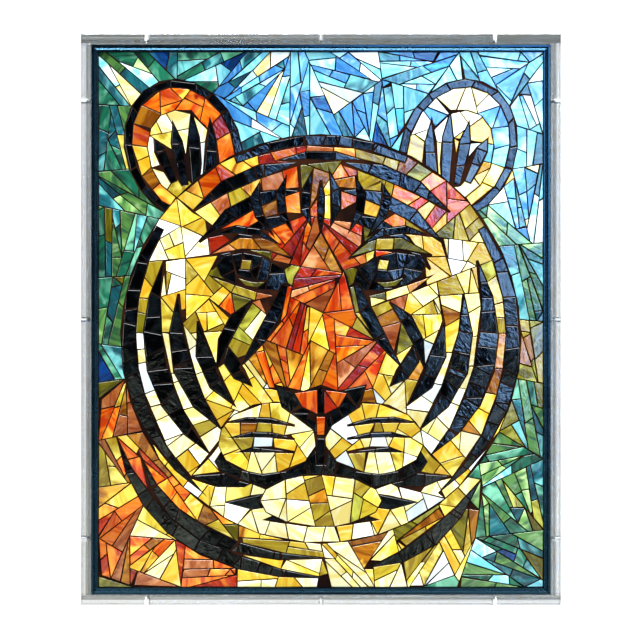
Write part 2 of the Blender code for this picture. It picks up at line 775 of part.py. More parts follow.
def make_screws():
    for _, name, place, way in screw_places():
        shape = bmesh.new()
        under_head = SEAT + CLEARANCE
        top = under_head + HEAD_HEIGHT
        tip = CLEARANCE - SHANK_LENGTH
        sections = [(tip, SHANK_DIAMETER), (under_head, SHANK_DIAMETER)]
        sections += [(under_head, HEAD_DIAMETER), (top, HEAD_DIAMETER)]
        stepped_rod(shape, place, -way, sections)
        mesh_object(name, shape, [plain_material("screw steel", (0.6, 0.6, 0.6), 0.3, 1.0)])


def rim_profile():
    """The rim's section: places across it, from its outer edge, and levels in front of the wall."""
    outer, groove, lip = 0.40 * RIM_WIDTH, 0.62 * RIM_WIDTH, 0.70 * RIM_WIDTH
    inner = RIM_WIDTH - CLEARANCE / 2
    return [
        (0, BED_BACK),
        (0, RIM_LEVEL - RIM_STEP / 2),
        (RIM_STEP / 2, RIM_LEVEL),
        (outer, RIM_LEVEL),
        (outer + RIM_STEP / 2, RIM_LEVEL - 1.5 * RIM_STEP),
        (groove, RIM_LEVEL - 1.5 * RIM_STEP),
        (lip, RIM_LEVEL - RIM_STEP),
        (inner - RIM_STEP / 3, RIM_LEVEL - RIM_STEP),
        (inner, RIM_LEVEL - 1.5 * RIM_STEP),
        (inner, BED_BACK),
    ]


def make_rim():
    """Four bars with one section, mitred at the corners with a clearance between them."""
    gloss = plain_material("black gloss", (0.01, 0.012, 0.014), 0.12)
    sides = {"top": (0, 1), "bottom": (0, -1), "left": (-1, 0), "right": (1, 0)}
    mitre_gap = CLEARANCE * 0.75
    for name, (out_x, out_z) in sides.items():
        half_out = (BOARD_HEIGHT if out_z else BOARD_WIDTH) / 2
        half_along = (BOARD_WIDTH if out_z else BOARD_HEIGHT) / 2
        shape = bmesh.new()
        ends = []
        for end in (-1, 1):
            corners = []
            for across, level in rim_profile():
                out, along = half_out - across, end * (half_along - across - mitre_gap)
                x = out_x * out + abs(out_z) * along
                z = out_z * out + abs(out_x) * along
                corners.append(shape.verts.new((x, -level, z)))
            ends.append(corners)
        count = len(ends[0])
        for index in range(count):
            after = (index + 1) % count
            shape.faces.new([ends[0][index], ends[0][after], ends[1][after], ends[1][index]])
        shape.faces.new(ends[0])
        shape.faces.new(ends[1])
        bmesh.ops.recalc_face_normals(shape, faces=shape.faces)
        mesh_object("rim_" + name, shape, [gloss])


def clear_scene():
    for existing in list(bpy.data.objects):
        bpy.data.objects.remove(existing, do_unlink=True)


def main():
    clear_scene()
    make_board()
    make_acrylic()
    make_screws()
    make_rim()
    make_mosaic()


main()
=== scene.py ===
"""A wall panel of cut glass set in grout, in a stepped black rim and clear acrylic walls.

Metres, +Z up. The panel's back lies in the plane y = 0 and its front faces -Y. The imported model
gives each piece its place, and each class below stands for one part of the panel or of the studio.
"""

import logging
import math
import random
from collections.abc import Iterator
from dataclasses import dataclass, field
from enum import Enum
from functools import reduce

import bmesh
import bpy
from mathutils import Matrix, Vector, noise


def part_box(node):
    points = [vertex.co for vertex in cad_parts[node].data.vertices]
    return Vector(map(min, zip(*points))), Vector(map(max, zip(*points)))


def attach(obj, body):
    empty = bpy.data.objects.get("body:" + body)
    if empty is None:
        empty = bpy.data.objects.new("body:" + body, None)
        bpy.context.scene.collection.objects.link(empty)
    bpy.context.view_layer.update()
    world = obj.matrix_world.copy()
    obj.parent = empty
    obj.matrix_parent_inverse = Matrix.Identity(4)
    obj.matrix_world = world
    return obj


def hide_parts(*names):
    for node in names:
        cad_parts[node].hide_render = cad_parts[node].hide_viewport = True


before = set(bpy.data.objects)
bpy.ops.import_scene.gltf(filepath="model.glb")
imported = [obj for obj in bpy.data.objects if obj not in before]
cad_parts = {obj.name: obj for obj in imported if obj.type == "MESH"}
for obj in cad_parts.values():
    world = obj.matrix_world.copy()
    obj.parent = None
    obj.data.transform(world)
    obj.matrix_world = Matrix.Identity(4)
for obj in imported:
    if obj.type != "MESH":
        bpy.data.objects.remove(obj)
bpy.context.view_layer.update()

LOG = logging.getLogger("panel")
ROOT = "root"
MERGE = 1e-6
FLAT = math.radians(0.5)
SHARP = 20.0
SIDES = {
    "top": Vector((0, 0, 1)),
    "bottom": Vector((0, 0, -1)),
    "left": Vector((-1, 0, 0)),
    "right": Vector((1, 0, 0)),
}
SCREWS_IN_WALL = (1, 2, 3)

Colour = tuple[float, float, float]
Sizes = tuple[float, float, float]
Range = tuple[float, float]
Noise = tuple[Sizes, float, float]
Outline = list[Vector]
Socket = bpy.types.NodeSocket
Source = Socket | float | tuple


class Wiring:
    """Adds nodes to one tree, of a material, a group or the world, and joins them."""

    def __init__(self, tree: bpy.types.NodeTree) -> None:
        """Takes the tree that the nodes go into."""
        self.tree = tree

    def set(self, socket: Socket, source: Source) -> None:
        """Joins a socket to another one, or gives it a plain value.

        Args:
            socket: The input that is set.
            source: An output socket, a number, a vector or a colour.
        """
        if isinstance(source, Socket):
            self.tree.links.new(source, socket)
        elif isinstance(source, tuple) and socket.type == "RGBA" and len(source) == 3:
            socket.default_value = (*source, 1.0)
        else:
            socket.default_value = source

    def fit(self, node: bpy.types.Node, inputs: dict) -> None:
        """Sets several of a node's inputs, by their names or numbers."""
        for name, source in inputs.items():
            self.set(node.inputs[name], source)

    def add(self, kind: str, inputs: dict | None = None, **settings: object) -> bpy.types.Node:
        """Adds a node.

        Args:
            kind: Blender's name of the node's type.
            inputs: What goes into its sockets, by name or number.
            settings: The node's own properties.

        Returns:
            The new node.
        """
        node = self.tree.nodes.new(kind)
        for name, value in settings.items():
            setattr(node, name, value)
        self.fit(node, inputs or {})
        return node

    def math(self, operation: str, first: Source, second: Source = 0.0) -> Socket:
        """What one of Blender's sums gives for one or two numbers."""
        return self.add("ShaderNodeMath", {0: first, 1: second}, operation=operation).outputs[0]

    def plus(self, first: Source, second: Source) -> Socket:
        """Two numbers added."""
        return self.math("ADD", first, second)

    def times(self, first: Source, *others: Source) -> Socket:
        """Two or more numbers multiplied, in the order given."""
        return reduce(lambda product, other: self.math("MULTIPLY", product, other), others, first)

    def away(self, value: Source, middle: float = 0.0) -> Socket:
        """How far a number is from another one."""
        return self.math("ABSOLUTE", self.math("SUBTRACT", value, middle))

    def mix(self, share: Source, first: Source, second: Source) -> Socket:
        """The first colour, with a share of the second one in it."""
        inputs = {0: share, 6: first, 7: second}
        return self.add("ShaderNodeMix", inputs, data_type="RGBA").outputs[2]

    def noise(self, place: Source, scale: float, detail: float, warp: float = 0.0) -> Socket:
        """Smooth noise, by its lumps in a unit of the place, its finer layers and its warp."""
        inputs = {"Vector": place, "Scale": scale, "Detail": detail, "Distortion": warp}
        return self.add("ShaderNodeTexNoise", inputs).outputs["Fac"]

    def stretched(self, place: Source, scale: Sizes) -> Socket:
        """A place whose three directions are each scaled on their own."""
        return self.add("ShaderNodeMapping", {"Vector": place, "Scale": scale}).outputs[0]

    def steps(self, value: Source, edges: Range, ends: Range = (0.0, 1.0)) -> Socket:
        """A number carried smoothly from one range to another, and held at its ends."""
        inputs = dict(enumerate((value, *edges, *ends)))
        return self.add("ShaderNodeMapRange", inputs, interpolation_type="SMOOTHSTEP").outputs[0]

    def place(self) -> Socket:
        """The place on the object, in metres."""
        return self.add("ShaderNodeTexCoord").outputs["Object"]

    def apart(self, vector: Source) -> bpy.types.NodeOutputs:
        """The three parts of a vector, by their axes."""
        return self.add("ShaderNodeSeparateXYZ", {0: vector}).outputs

    def group(self, name: str, inputs: dict) -> bpy.types.NodeOutputs:
        """Places a node group, and gives what comes out of it."""
        return self.add("ShaderNodeGroup", inputs, node_tree=bpy.data.node_groups[name]).outputs


class Group:
    """A shader node group with named inputs and outputs, which several materials place."""

    def __init__(self, name: str, inputs: dict[str, str], outputs: dict[str, str]) -> None:
        """Makes the empty group and its sockets.

        Args:
            name: The group's name.
            inputs: The kind of each input socket, by its name.
            outputs: The kind of each output socket, by its name.
        """
        tree = bpy.data.node_groups.new(name, "ShaderNodeTree")
        for way, sockets in (("INPUT", inputs), ("OUTPUT", outputs)):
            for socket, kind in sockets.items():
                tree.interface.new_socket(socket, in_out=way, socket_type="NodeSocket" + kind)
        self.wiring = Wiring(tree)
        self.given = self.wiring.add("NodeGroupInput").outputs
        self.results = self.wiring.add("NodeGroupOutput")


class GlassSheetGroup(Group):
    """Streaky rolled glass: colours drawn out along the sheet, ripples and a little haze.

    Each noise has its stretch over the sheet, its finer layers and its warp.
    """

    NAME = "streaky_glass"
    STREAKS: Noise = ((16.0, 95.0, 1.0), 3.0, 0.6)
    WISPS: Noise = ((38.0, 260.0, 1.0), 4.0, 1.4)
    CLOUDS: Noise = ((30.0, 48.0, 1.0), 2.0, 0.8)
    RIPPLES: Noise = ((90.0, 150.0, 1.0), 2.0, 0.5)
    WISPS_IN_STREAKS = 0.25
    WISPS_IN_RELIEF = 0.3
    SHADE_IN_LIGHT = 0.14
    STREAK_EDGE = (0.52, 0.74)
    LIGHT_EDGE = (0.50, 0.78)
    SHADES = (0.60, 1.16)
    HAZE_EDGE = (0.3, 0.7)
    HAZE = (0.05, 0.12)

    def __init__(self) -> None:
        """Builds the group; it reads the piece's place on its sheet and its own shade."""
        inputs = {"Body": "Color", "Streak": "Color", "Light": "Color", "Streakiness": "Float"}
        outputs = {"Colour": "Color", "Roughness": "Float", "Height": "Float"}
        super().__init__(self.NAME, inputs, outputs)
        wiring, given = self.wiring, self.given
        place = wiring.add("ShaderNodeUVMap", uv_map=Shard.PLACE).outputs[0]
        shade = wiring.add("ShaderNodeAttribute", attribute_name=Shard.SHADE).outputs["Fac"]
        streaks, wisps, clouds, ripples = (
            wiring.noise(wiring.stretched(place, stretch), 1.0, detail, warp)
            for stretch, detail, warp in (self.STREAKS, self.WISPS, self.CLOUDS, self.RIPPLES)
        )
        drawn = wiring.plus(streaks, wiring.times(wisps, self.WISPS_IN_STREAKS))
        streaked = wiring.times(wiring.steps(drawn, self.STREAK_EDGE), given["Streakiness"])
        colour = wiring.mix(streaked, given["Body"], given["Streak"])
        lit = wiring.plus(clouds, wiring.times(shade, self.SHADE_IN_LIGHT))
        lighted = wiring.times(wiring.steps(lit, self.LIGHT_EDGE), given["Streakiness"])
        colour = wiring.mix(lighted, colour, given["Light"])
        spread = dict(enumerate((shade, -1.0, 1.0, *self.SHADES)))
        strength = wiring.add("ShaderNodeMapRange", spread).outputs[0]
        toned = wiring.add("ShaderNodeHueSaturation", {"Value": strength, "Color": colour})
        results = {
            "Colour": toned.outputs[0],
            "Roughness": wiring.steps(clouds, self.HAZE_EDGE, self.HAZE),
            "Height": wiring.plus(ripples, wiring.times(wisps, self.WISPS_IN_RELIEF)),
        }
        wiring.fit(self.results, results)


class WearGroup(Group):
    """Fine scuffs and dust over a worked surface."""

    NAME = "scuffs"
    COARSE = (1.0, 4.0, 0.4)
    FINE = (7.0, 5.0, 0.2)
    FINE_SHARE = 0.4
    WORN_EDGE = (0.5, 0.95)

    def __init__(self) -> None:
        """Builds the group; it takes the place, and the least and the most roughness."""
        inputs = {"Place": "Vector", "Smooth": "Float", "Worn": "Float"}
        outputs = {"Roughness": "Float", "Height": "Float", "Mask": "Float"}
        super().__init__(self.NAME, inputs, outputs)
        wiring, given = self.wiring, self.given
        coarse = wiring.noise(given["Place"], *self.COARSE)
        fine = wiring.noise(given["Place"], *self.FINE)
        both = wiring.plus(coarse, wiring.times(fine, self.FINE_SHARE))
        mask = wiring.steps(both, self.WORN_EDGE)
        spread = wiring.math("SUBTRACT", given["Worn"], given["Smooth"])
        roughness = wiring.plus(given["Smooth"], wiring.times(mask, spread))
        wiring.fit(self.results, {"Roughness": roughness, "Height": fine, "Mask": mask})


@dataclass(frozen=True)
class Scuffs:
    """How a surface is worn: the stretch of its scuffs, its roughness and its relief."""

    stretch: Sizes
    smooth: float
    worn: float
    depth: float
    share: float


@dataclass(frozen=True)
class Finish:
    """What a finish of any kind has: a name, and how its material is started."""

    name: str

    def start(self) -> tuple[bpy.types.Material, Wiring, bpy.types.Node]:
        """Makes the material and clears the way to its shader.

        Returns:
            The material, the wiring of its tree and its Principled shader.
        """
        material = bpy.data.materials.new(self.name)
        material.use_nodes = True
        return material, Wiring(material.node_tree), material.node_tree.nodes["Principled BSDF"]

    def bumped(
        self, wiring: Wiring, shader: bpy.types.Node, height: Source, depth: float, share: float
    ) -> None:
        """Lays a relief of a depth in metres over a surface, of which a share shows."""
        inputs = {"Height": height, "Distance": depth, "Strength": share}
        wiring.set(shader.inputs["Normal"], wiring.add("ShaderNodeBump", inputs).outputs[0])

    def scuffed(
        self, wiring: Wiring, shader: bpy.types.Node, place: Source, scuffs: Scuffs
    ) -> Socket:
        """Lays scuffs over a surface, in its roughness and in a fine relief.

        Args:
            wiring: The wiring of the material.
            shader: The shader that takes them.
            place: The place on the object.
            scuffs: How the surface is worn.

        Returns:
            The mask of where it is worn.
        """
        stretched = wiring.stretched(place, scuffs.stretch)
        inputs = {"Place": stretched, "Smooth": scuffs.smooth, "Worn": scuffs.worn}
        worn = wiring.group(WearGroup.NAME, inputs)
        wiring.set(shader.inputs["Roughness"], worn["Roughness"])
        self.bumped(wiring, shader, worn["Height"], scuffs.depth, scuffs.share)
        return worn["Mask"]


@dataclass(frozen=True)
class StreakyGlass(Finish):
    """Opalescent rolled glass in three colours."""

    body: Colour
    streak: Colour
    light: Colour
    streakiness: float = 1.0
    refraction: float = 1.52
    ripple_depth: float = 0.0004
    ripple_share: float = 0.28

    def material(self) -> bpy.types.Material:
        """The glass as a material.

        Returns:
            The new material.
        """
        material, wiring, shader = self.start()
        inputs = {"Body": self.body, "Streak": self.streak, "Light": self.light}
        sheet = wiring.group(GlassSheetGroup.NAME, {**inputs, "Streakiness": self.streakiness})
        looks = {"Base Color": sheet["Colour"], "Roughness": sheet["Roughness"]}
        wiring.fit(shader, {**looks, "IOR": self.refraction})
        self.bumped(wiring, shader, sheet["Height"], self.ripple_depth, self.ripple_share)
        return material


class Sheet(Enum):
    """The sheets of glass that the pieces are cut from, the thinnest first, as the model has them.

    Each has the colour of its body, its streaks and its light parts.
    """

    BLACK = (0.0012, 0.0012, 0.0013), (0.0006, 0.0006, 0.0008), (0.003, 0.005, 0.004), 0.7
    RUST = (0.48, 0.035, 0.006), (0.24, 0.010, 0.003), (0.84, 0.24, 0.02)
    COPPER = (0.46, 0.14, 0.035), (0.28, 0.06, 0.014), (0.68, 0.32, 0.14)
    ORANGE = (0.82, 0.20, 0.01), (0.55, 0.05, 0.004), (0.95, 0.52, 0.06)
    AMBER = (0.50, 0.20, 0.012), (0.24, 0.07, 0.005), (0.78, 0.46, 0.05)
    GOLD = (0.50, 0.37, 0.03), (0.32, 0.20, 0.015), (0.80, 0.66, 0.16)
    YELLOW = (0.86, 0.60, 0.07), (0.78, 0.42, 0.02), (0.98, 0.86, 0.36)
    CREAM = (1.0, 0.92, 0.56), (0.92, 0.72, 0.22), (1.0, 0.98, 0.86)
    WHITE = (0.92, 0.92, 0.86), (0.74, 0.82, 0.84), (1.0, 1.0, 0.98)
    OLIVE = (0.24, 0.20, 0.012), (0.11, 0.09, 0.008), (0.46, 0.44, 0.06)
    LEAF = (0.13, 0.28, 0.07), (0.04, 0.12, 0.05), (0.50, 0.72, 0.28)
    EMERALD = (0.02, 0.17, 0.09), (0.02, 0.065, 0.05), (0.20, 0.50, 0.32)
    TEAL = (0.02, 0.16, 0.18), (0.02, 0.07, 0.09), (0.20, 0.54, 0.50)
    DEEP_BLUE = (0.01, 0.09, 0.34), (0.008, 0.035, 0.12), (0.05, 0.40, 0.60)
    SKY_BLUE = (0.10, 0.36, 0.72), (0.05, 0.22, 0.52), (0.50, 0.80, 0.95)
    PALE_CYAN = (0.34, 0.78, 0.82), (0.16, 0.55, 0.68), (0.80, 0.97, 0.95)

    @property
    def glass(self) -> StreakyGlass:
        """The finish of the sheet."""
        return StreakyGlass("glass_" + self.name.lower(), *self.value)


COMPANIONS = {
    Sheet.BLACK: "BLACK",
    Sheet.RUST: "RUST RUST RUST ORANGE COPPER",
    Sheet.COPPER: "COPPER COPPER AMBER ORANGE GOLD RUST",
    Sheet.ORANGE: "ORANGE ORANGE ORANGE AMBER RUST YELLOW",
    Sheet.AMBER: "AMBER AMBER GOLD ORANGE COPPER OLIVE",
    Sheet.GOLD: "GOLD GOLD YELLOW YELLOW AMBER OLIVE",
    Sheet.YELLOW: "YELLOW YELLOW CREAM GOLD CREAM",
    Sheet.CREAM: "CREAM CREAM CREAM YELLOW WHITE CREAM GOLD",
    Sheet.WHITE: "WHITE CREAM CREAM YELLOW",
    Sheet.OLIVE: "OLIVE OLIVE GOLD AMBER",
    Sheet.LEAF: "LEAF LEAF EMERALD TEAL OLIVE EMERALD",
    Sheet.EMERALD: "EMERALD EMERALD TEAL LEAF TEAL OLIVE DEEP_BLUE",
    Sheet.TEAL: "TEAL TEAL EMERALD DEEP_BLUE PALE_CYAN EMERALD",
    Sheet.DEEP_BLUE: "DEEP_BLUE DEEP_BLUE TEAL SKY_BLUE EMERALD",
    Sheet.SKY_BLUE: "SKY_BLUE SKY_BLUE PALE_CYAN DEEP_BLUE PALE_CYAN TEAL",
    Sheet.PALE_CYAN: "PALE_CYAN PALE_CYAN SKY_BLUE WHITE TEAL SKY_BLUE PALE_CYAN SKY_BLUE",
}

IN_MIDDLE = {
    Sheet.GOLD: "GOLD AMBER OLIVE COPPER ORANGE",
    Sheet.YELLOW: "GOLD AMBER OLIVE YELLOW ORANGE",
    Sheet.CREAM: "CREAM GOLD AMBER OLIVE YELLOW COPPER",
    Sheet.WHITE: "CREAM GOLD YELLOW WHITE AMBER",
}

IN_EYES = {
    Sheet.YELLOW: "GOLD GOLD GOLD GOLD GOLD",
    Sheet.OLIVE: "OLIVE OLIVE OLIVE OLIVE",
}

LOW_BEHIND = {
    Sheet.GOLD: "GOLD LEAF EMERALD OLIVE TEAL",
    Sheet.CREAM: "OLIVE LEAF CREAM TEAL EMERALD",
    Sheet.WHITE: "PALE_CYAN TEAL LEAF EMERALD",
    Sheet.SKY_BLUE: "TEAL EMERALD DEEP_BLUE PALE_CYAN SKY_BLUE",
    Sheet.PALE_CYAN: "PALE_CYAN TEAL EMERALD LEAF",
}

BEHIND = {
    Sheet.GOLD: "TEAL LEAF EMERALD LEAF TEAL",
    Sheet.CREAM: "CREAM LEAF PALE_CYAN TEAL EMERALD",
    Sheet.WHITE: "WHITE PALE_CYAN SKY_BLUE PALE_CYAN SKY_BLUE CREAM TEAL",
    Sheet.OLIVE: "LEAF LEAF EMERALD TEAL",
}


@dataclass(frozen=True)
class Grout(Finish):
    """Dark rusty grout, dull and sandy."""

    wet: Colour = (0.010, 0.0025, 0.001)
    dry: Colour = (0.042, 0.012, 0.004)
    gloss: float = 0.12
    grain: float = 900.0
    grain_depth: float = 0.0002
    grain_share: float = 0.8
    grain_edge: Range = (0.3, 0.7)
    dullness: Range = (0.65, 0.95)
    patches: float = 28.0
    patch_edge: Range = (0.4, 0.65)

    def material(self) -> bpy.types.Material:
        """The grout as a material.

        Returns:
            The new material.
        """
        material, wiring, shader = self.start()
        place = wiring.place()
        sand = wiring.noise(place, self.grain, 3.0)
        dried = wiring.steps(wiring.noise(place, self.patches, 3.0), self.patch_edge)
        looks = {
            "Base Color": wiring.mix(dried, self.wet, self.dry),
            "Roughness": wiring.steps(sand, self.grain_edge, self.dullness),
            "Specular IOR Level": self.gloss,
        }
        wiring.fit(shader, looks)
        self.bumped(wiring, shader, sand, self.grain_depth, self.grain_share)
        return material


@dataclass(frozen=True)
class GlossPaint(Finish):
    """Paint on the rim: deep gloss, faintly scuffed, with its reflections tinted blue as a painted
    sky reflection.
    """

    colour: Colour = (0.002, 0.006, 0.010)
    worn: Colour = (0.005, 0.012, 0.018)
    # A blue tint on the rim's real reflections: painted sky reflection on the dark rim.
    painted_sky_tint: Colour = (0.30, 0.70, 1.0)
    gloss: float = 0.5
    scuffs: Scuffs = Scuffs((60.0, 60.0, 60.0), 0.06, 0.13, 0.0001, 0.25)

    def material(self) -> bpy.types.Material:
        """The paint as a material.

        Returns:
            The new material.
        """
        material, wiring, shader = self.start()
        mask = self.scuffed(wiring, shader, wiring.place(), self.scuffs)
        colour = wiring.mix(mask, self.colour, self.worn)
        # The reflections take the painted blue sky tint.
        looks = {"Specular IOR Level": self.gloss, "Specular Tint": self.painted_sky_tint}
        wiring.fit(shader, {"Base Color": colour, **looks})
        return material


@dataclass(frozen=True)
class PaintedShade:
    """How painted reflection and shade lie in a wall: its streaks, its axes, their inner and outer
    depth, their painted dark line.
    """

    stretch: Sizes
    across: str
    along: str
    depths: Range
    line_at: float


class Run(Enum):
    """The kinds of acrylic wall, by the painted reflection and shade in their sawn edges; the top
    wall is painted darkest and the bottom one lightest.
    """

    TOP = PaintedShade((1.4, 60.0, 900.0), "Z", "X", (0.90, 0.62), 0.54)
    BOTTOM = PaintedShade((1.4, 60.0, 900.0), "Z", "X", (0.60, 0.14), 0.36)
    UPRIGHT = PaintedShade((900.0, 60.0, 1.4), "X", "Z", (0.66, 0.24), 0.36)


@dataclass(frozen=True)
class ClearAcrylic(Finish):
    """Clear sheet with sawn edges and painted reflection and shade: grey streaks along the wall,
    darker towards its inner face, and clear where its holes are.
    """

    run: Run
    inner_face: float
    thickness: float
    holes_at: float
    hole: float
    seat: float
    clear: Colour = (0.97, 0.98, 0.98)
    # The grey of the painted reflection and shade in the clear sheet.
    painted_shade_grey: Colour = (0.16, 0.16, 0.135)
    refraction: float = 1.49
    roughness: Range = (0.0, 0.16)
    relief: Range = (0.0002, 0.3)
    fade: float = 0.0003
    painted_shade_edge: Range = (0.44, 0.60)
    streak_share: float = 0.5
    line_width: float = 0.09
    line_depth: float = 0.42
    sawn_edge: Range = (0.55, 0.95)
    polished: float = 0.06

    def beside_holes(self, wiring: Wiring, along: Source, across: Source) -> Socket:
        """Nought within a counterbore, as seen from the front, and one beside it.

        Args:
            wiring: The wiring of the material.
            along: The place along the wall, from its middle.
            across: The place in the wall, from its inner face.

        Returns:
            The mask.
        """
        from_middle = wiring.away(along)
        nearest = wiring.math("MINIMUM", from_middle, wiring.away(from_middle, self.holes_at))
        aside = wiring.steps(nearest, (self.hole / 2 - self.fade, self.hole / 2))
        under = wiring.steps(across, (self.seat - self.fade, self.seat + self.fade), (1.0, 0.0))
        return wiring.math("MAXIMUM", aside, under)

    def material(self) -> bpy.types.Material:
        """The acrylic as a material.

        Returns:
            The new material.
        """
        material, wiring, shader = self.start()
        run, place = self.run.value, wiring.place()
        parts = wiring.apart(place)
        across = wiring.math("SUBTRACT", wiring.away(parts[run.across]), self.inner_face)
        scuffs = Scuffs(run.stretch, *self.roughness, *self.relief)
        mask = self.scuffed(wiring, shader, place, scuffs)
        # Painted reflection and shade: grey laid into the clear sheet's colour, deepest at its
        # inner face, with the scuff streaks and a painted dark line added.
        edge = tuple(self.thickness * share for share in self.painted_shade_edge)
        painted_shade = wiring.steps(across, edge, run.depths)
        painted_shade = wiring.plus(painted_shade, wiring.times(mask, self.streak_share))
        off_line = wiring.away(across, self.thickness * run.line_at)
        reach = (0.0, self.thickness * self.line_width)
        painted_shade = wiring.plus(painted_shade, wiring.steps(off_line, reach, (self.line_depth, 0.0)))
        # The painted grey is full on the faces that look to the front or back, faint on the others,
        # and left out round the holes.
        normal = wiring.add("ShaderNodeNewGeometry").outputs["True Normal"]
        facing = wiring.away(wiring.apart(normal)["Y"])
        sawn = wiring.steps(facing, self.sawn_edge, (self.polished, 1.0))
        painted_shade = wiring.times(painted_shade, self.beside_holes(wiring, parts[run.along], across), sawn)
        colour = wiring.mix(painted_shade, self.clear, self.painted_shade_grey)
        looks = {"Transmission Weight": 1.0, "IOR": self.refraction}
        wiring.fit(shader, {"Base Color": colour, **looks})
        return material


@dataclass(frozen=True)
class ScrewSteel(Finish):
    """Bright turned steel."""

    colour: Colour = (0.86, 0.86, 0.85)
    dulled: float = 0.6
    scuffs: Scuffs = Scuffs((700.0, 700.0, 700.0), 0.18, 0.4, 0.00005, 0.3)

    def material(self) -> bpy.types.Material:
        """The steel as a material.

        Returns:
            The new material.
        """
        material, wiring, shader = self.start()
        mask = self.scuffed(wiring, shader, wiring.place(), self.scuffs)
        dull = tuple(part * self.dulled for part in self.colour)
        wiring.fit(shader, {"Base Color": wiring.mix(mask, self.colour, dull), "Metallic": 1.0})
        return material


@dataclass(frozen=True)
class BoardPaint(Finish):
    """Matt dark paint, rolled onto the board, with its grain just showing."""

    colour: Colour = (0.022, 0.021, 0.020)
    thin: Colour = (0.055, 0.050, 0.044)
    scuffs: Scuffs = Scuffs((150.0, 150.0, 9.0), 0.55, 0.8, 0.0003, 0.5)

    def material(self) -> bpy.types.Material:
        """The paint as a material.

        Returns:
            The new material.
        """
        material, wiring, shader = self.start()
        mask = self.scuffed(wiring, shader, wiring.place(), self.scuffs)
        wiring.set(shader.inputs["Base Color"], wiring.mix(mask, self.colour, self.thin))
        return material


def middle_of(spots: Outline | tuple) -> Vector:
    """The mean of some places."""
    return sum(spots, Vector()) / len(spots)


def rounded(shape: bmesh.types.BMesh, edges: list[bmesh.types.BMEdge], width: float) -> None:
    """Rounds some edges of a shape.

    Args:
        shape: The mesh that is changed.
        edges: The edges.
        width: The width of the rounding.
    """
    bmesh.ops.bevel(
        shape,
        geom=edges,
        offset=width,
        offset_type="OFFSET",
        affect="EDGES",
        segments=2,
        profile=0.5,
        material=-1,
        clamp_overlap=True,
    )


def turned(profile: list[Range], sides: int, foot: Vector, way: Vector) -> bmesh.types.BMesh:
    """A round shape, turned on a lathe.

    Args:
        profile: The place along the axis and the radius, at each corner of its outline.
        sides: How many flat sides it has.
        foot: Where its axis starts.
        way: The direction of its axis.

    Returns:
        Its mesh.
    """
    shape = bmesh.new()
    corners = [shape.verts.new((radius, 0, place)) for place, radius in profile]
    edges = [shape.edges.new(pair) for pair in zip(corners, corners[1:])]
    spun = {"cent": (0, 0, 0), "axis": (0, 0, 1), "angle": math.tau, "use_merge": True}
    bmesh.ops.spin(shape, geom=corners + edges, steps=sides, **spun)
    bmesh.ops.remove_doubles(shape, verts=shape.verts, dist=MERGE)
    turn = Vector((0, 0, 1)).rotation_difference(way).to_matrix().to_4x4()
    bmesh.ops.transform(shape, verts=shape.verts, matrix=Matrix.Translation(foot) @ turn)
    bmesh.ops.recalc_face_normals(shape, faces=shape.faces)
    return shape


def stood(name: str, shape: bmesh.types.BMesh) -> bpy.types.Object:
    """Makes an object of a shape and puts it in the scene.

    Args:
        name: The object's name.
        shape: Its mesh, which is used up.

    Returns:
        The new object.
    """
    mesh = bpy.data.meshes.new(name)
    shape.to_mesh(mesh)
    shape.free()
    made = bpy.data.objects.new(name, mesh)
    bpy.context.scene.collection.objects.link(made)
    return made


@dataclass
class Bench:
    """Turns finished shapes into pieces of the panel."""

    counts: dict[str, int] = field(default_factory=dict)

    def piece(
        self, name: str, shape: bmesh.types.BMesh, finish: bpy.types.Material, node: str, slot: str
    ) -> None:
        """Makes an object from a shape, hides the model's node that it stands for, and logs its
        faces.

        Args:
            name: The piece's name.
            shape: Its mesh, which is used up.
            finish: Its material.
            node: The model's node that it stands for.
            slot: The slot of its finish; not used.
        """
        made = stood(name, shape)
        made.data.materials.append(finish)
        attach(made, ROOT)
        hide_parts(node)
        self.counts[name] = len(made.data.polygons)
        LOG.info("%s: %d faces", name, self.counts[name])

    def copy_of(self, node: str) -> bmesh.types.BMesh:
        """A copy of a node's mesh, with its doubles merged and its flat faces joined.

        Args:
            node: The node's name.

        Returns:
            The copy, to be worked on.
        """
        shape = bmesh.new()
        shape.from_mesh(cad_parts[node].data)
        bmesh.ops.remove_doubles(shape, verts=shape.verts, dist=MERGE)
        everything = {"verts": shape.verts, "edges": shape.edges}
        bmesh.ops.dissolve_limit(shape, angle_limit=FLAT, **everything)
        return shape

    def soften(self, shape: bmesh.types.BMesh, width: float, sharper: float = SHARP) -> None:
        """Rounds a shape's sharp edges.

        Args:
            shape: The mesh that is changed.
            width: The width of the rounding.
            sharper: The least turn, in degrees, of an edge that is rounded.
        """
        limit = math.radians(sharper)
        whole = [edge for edge in shape.edges if edge.is_manifold]
        rounded(shape, [edge for edge in whole if edge.calc_face_angle() > limit], width)


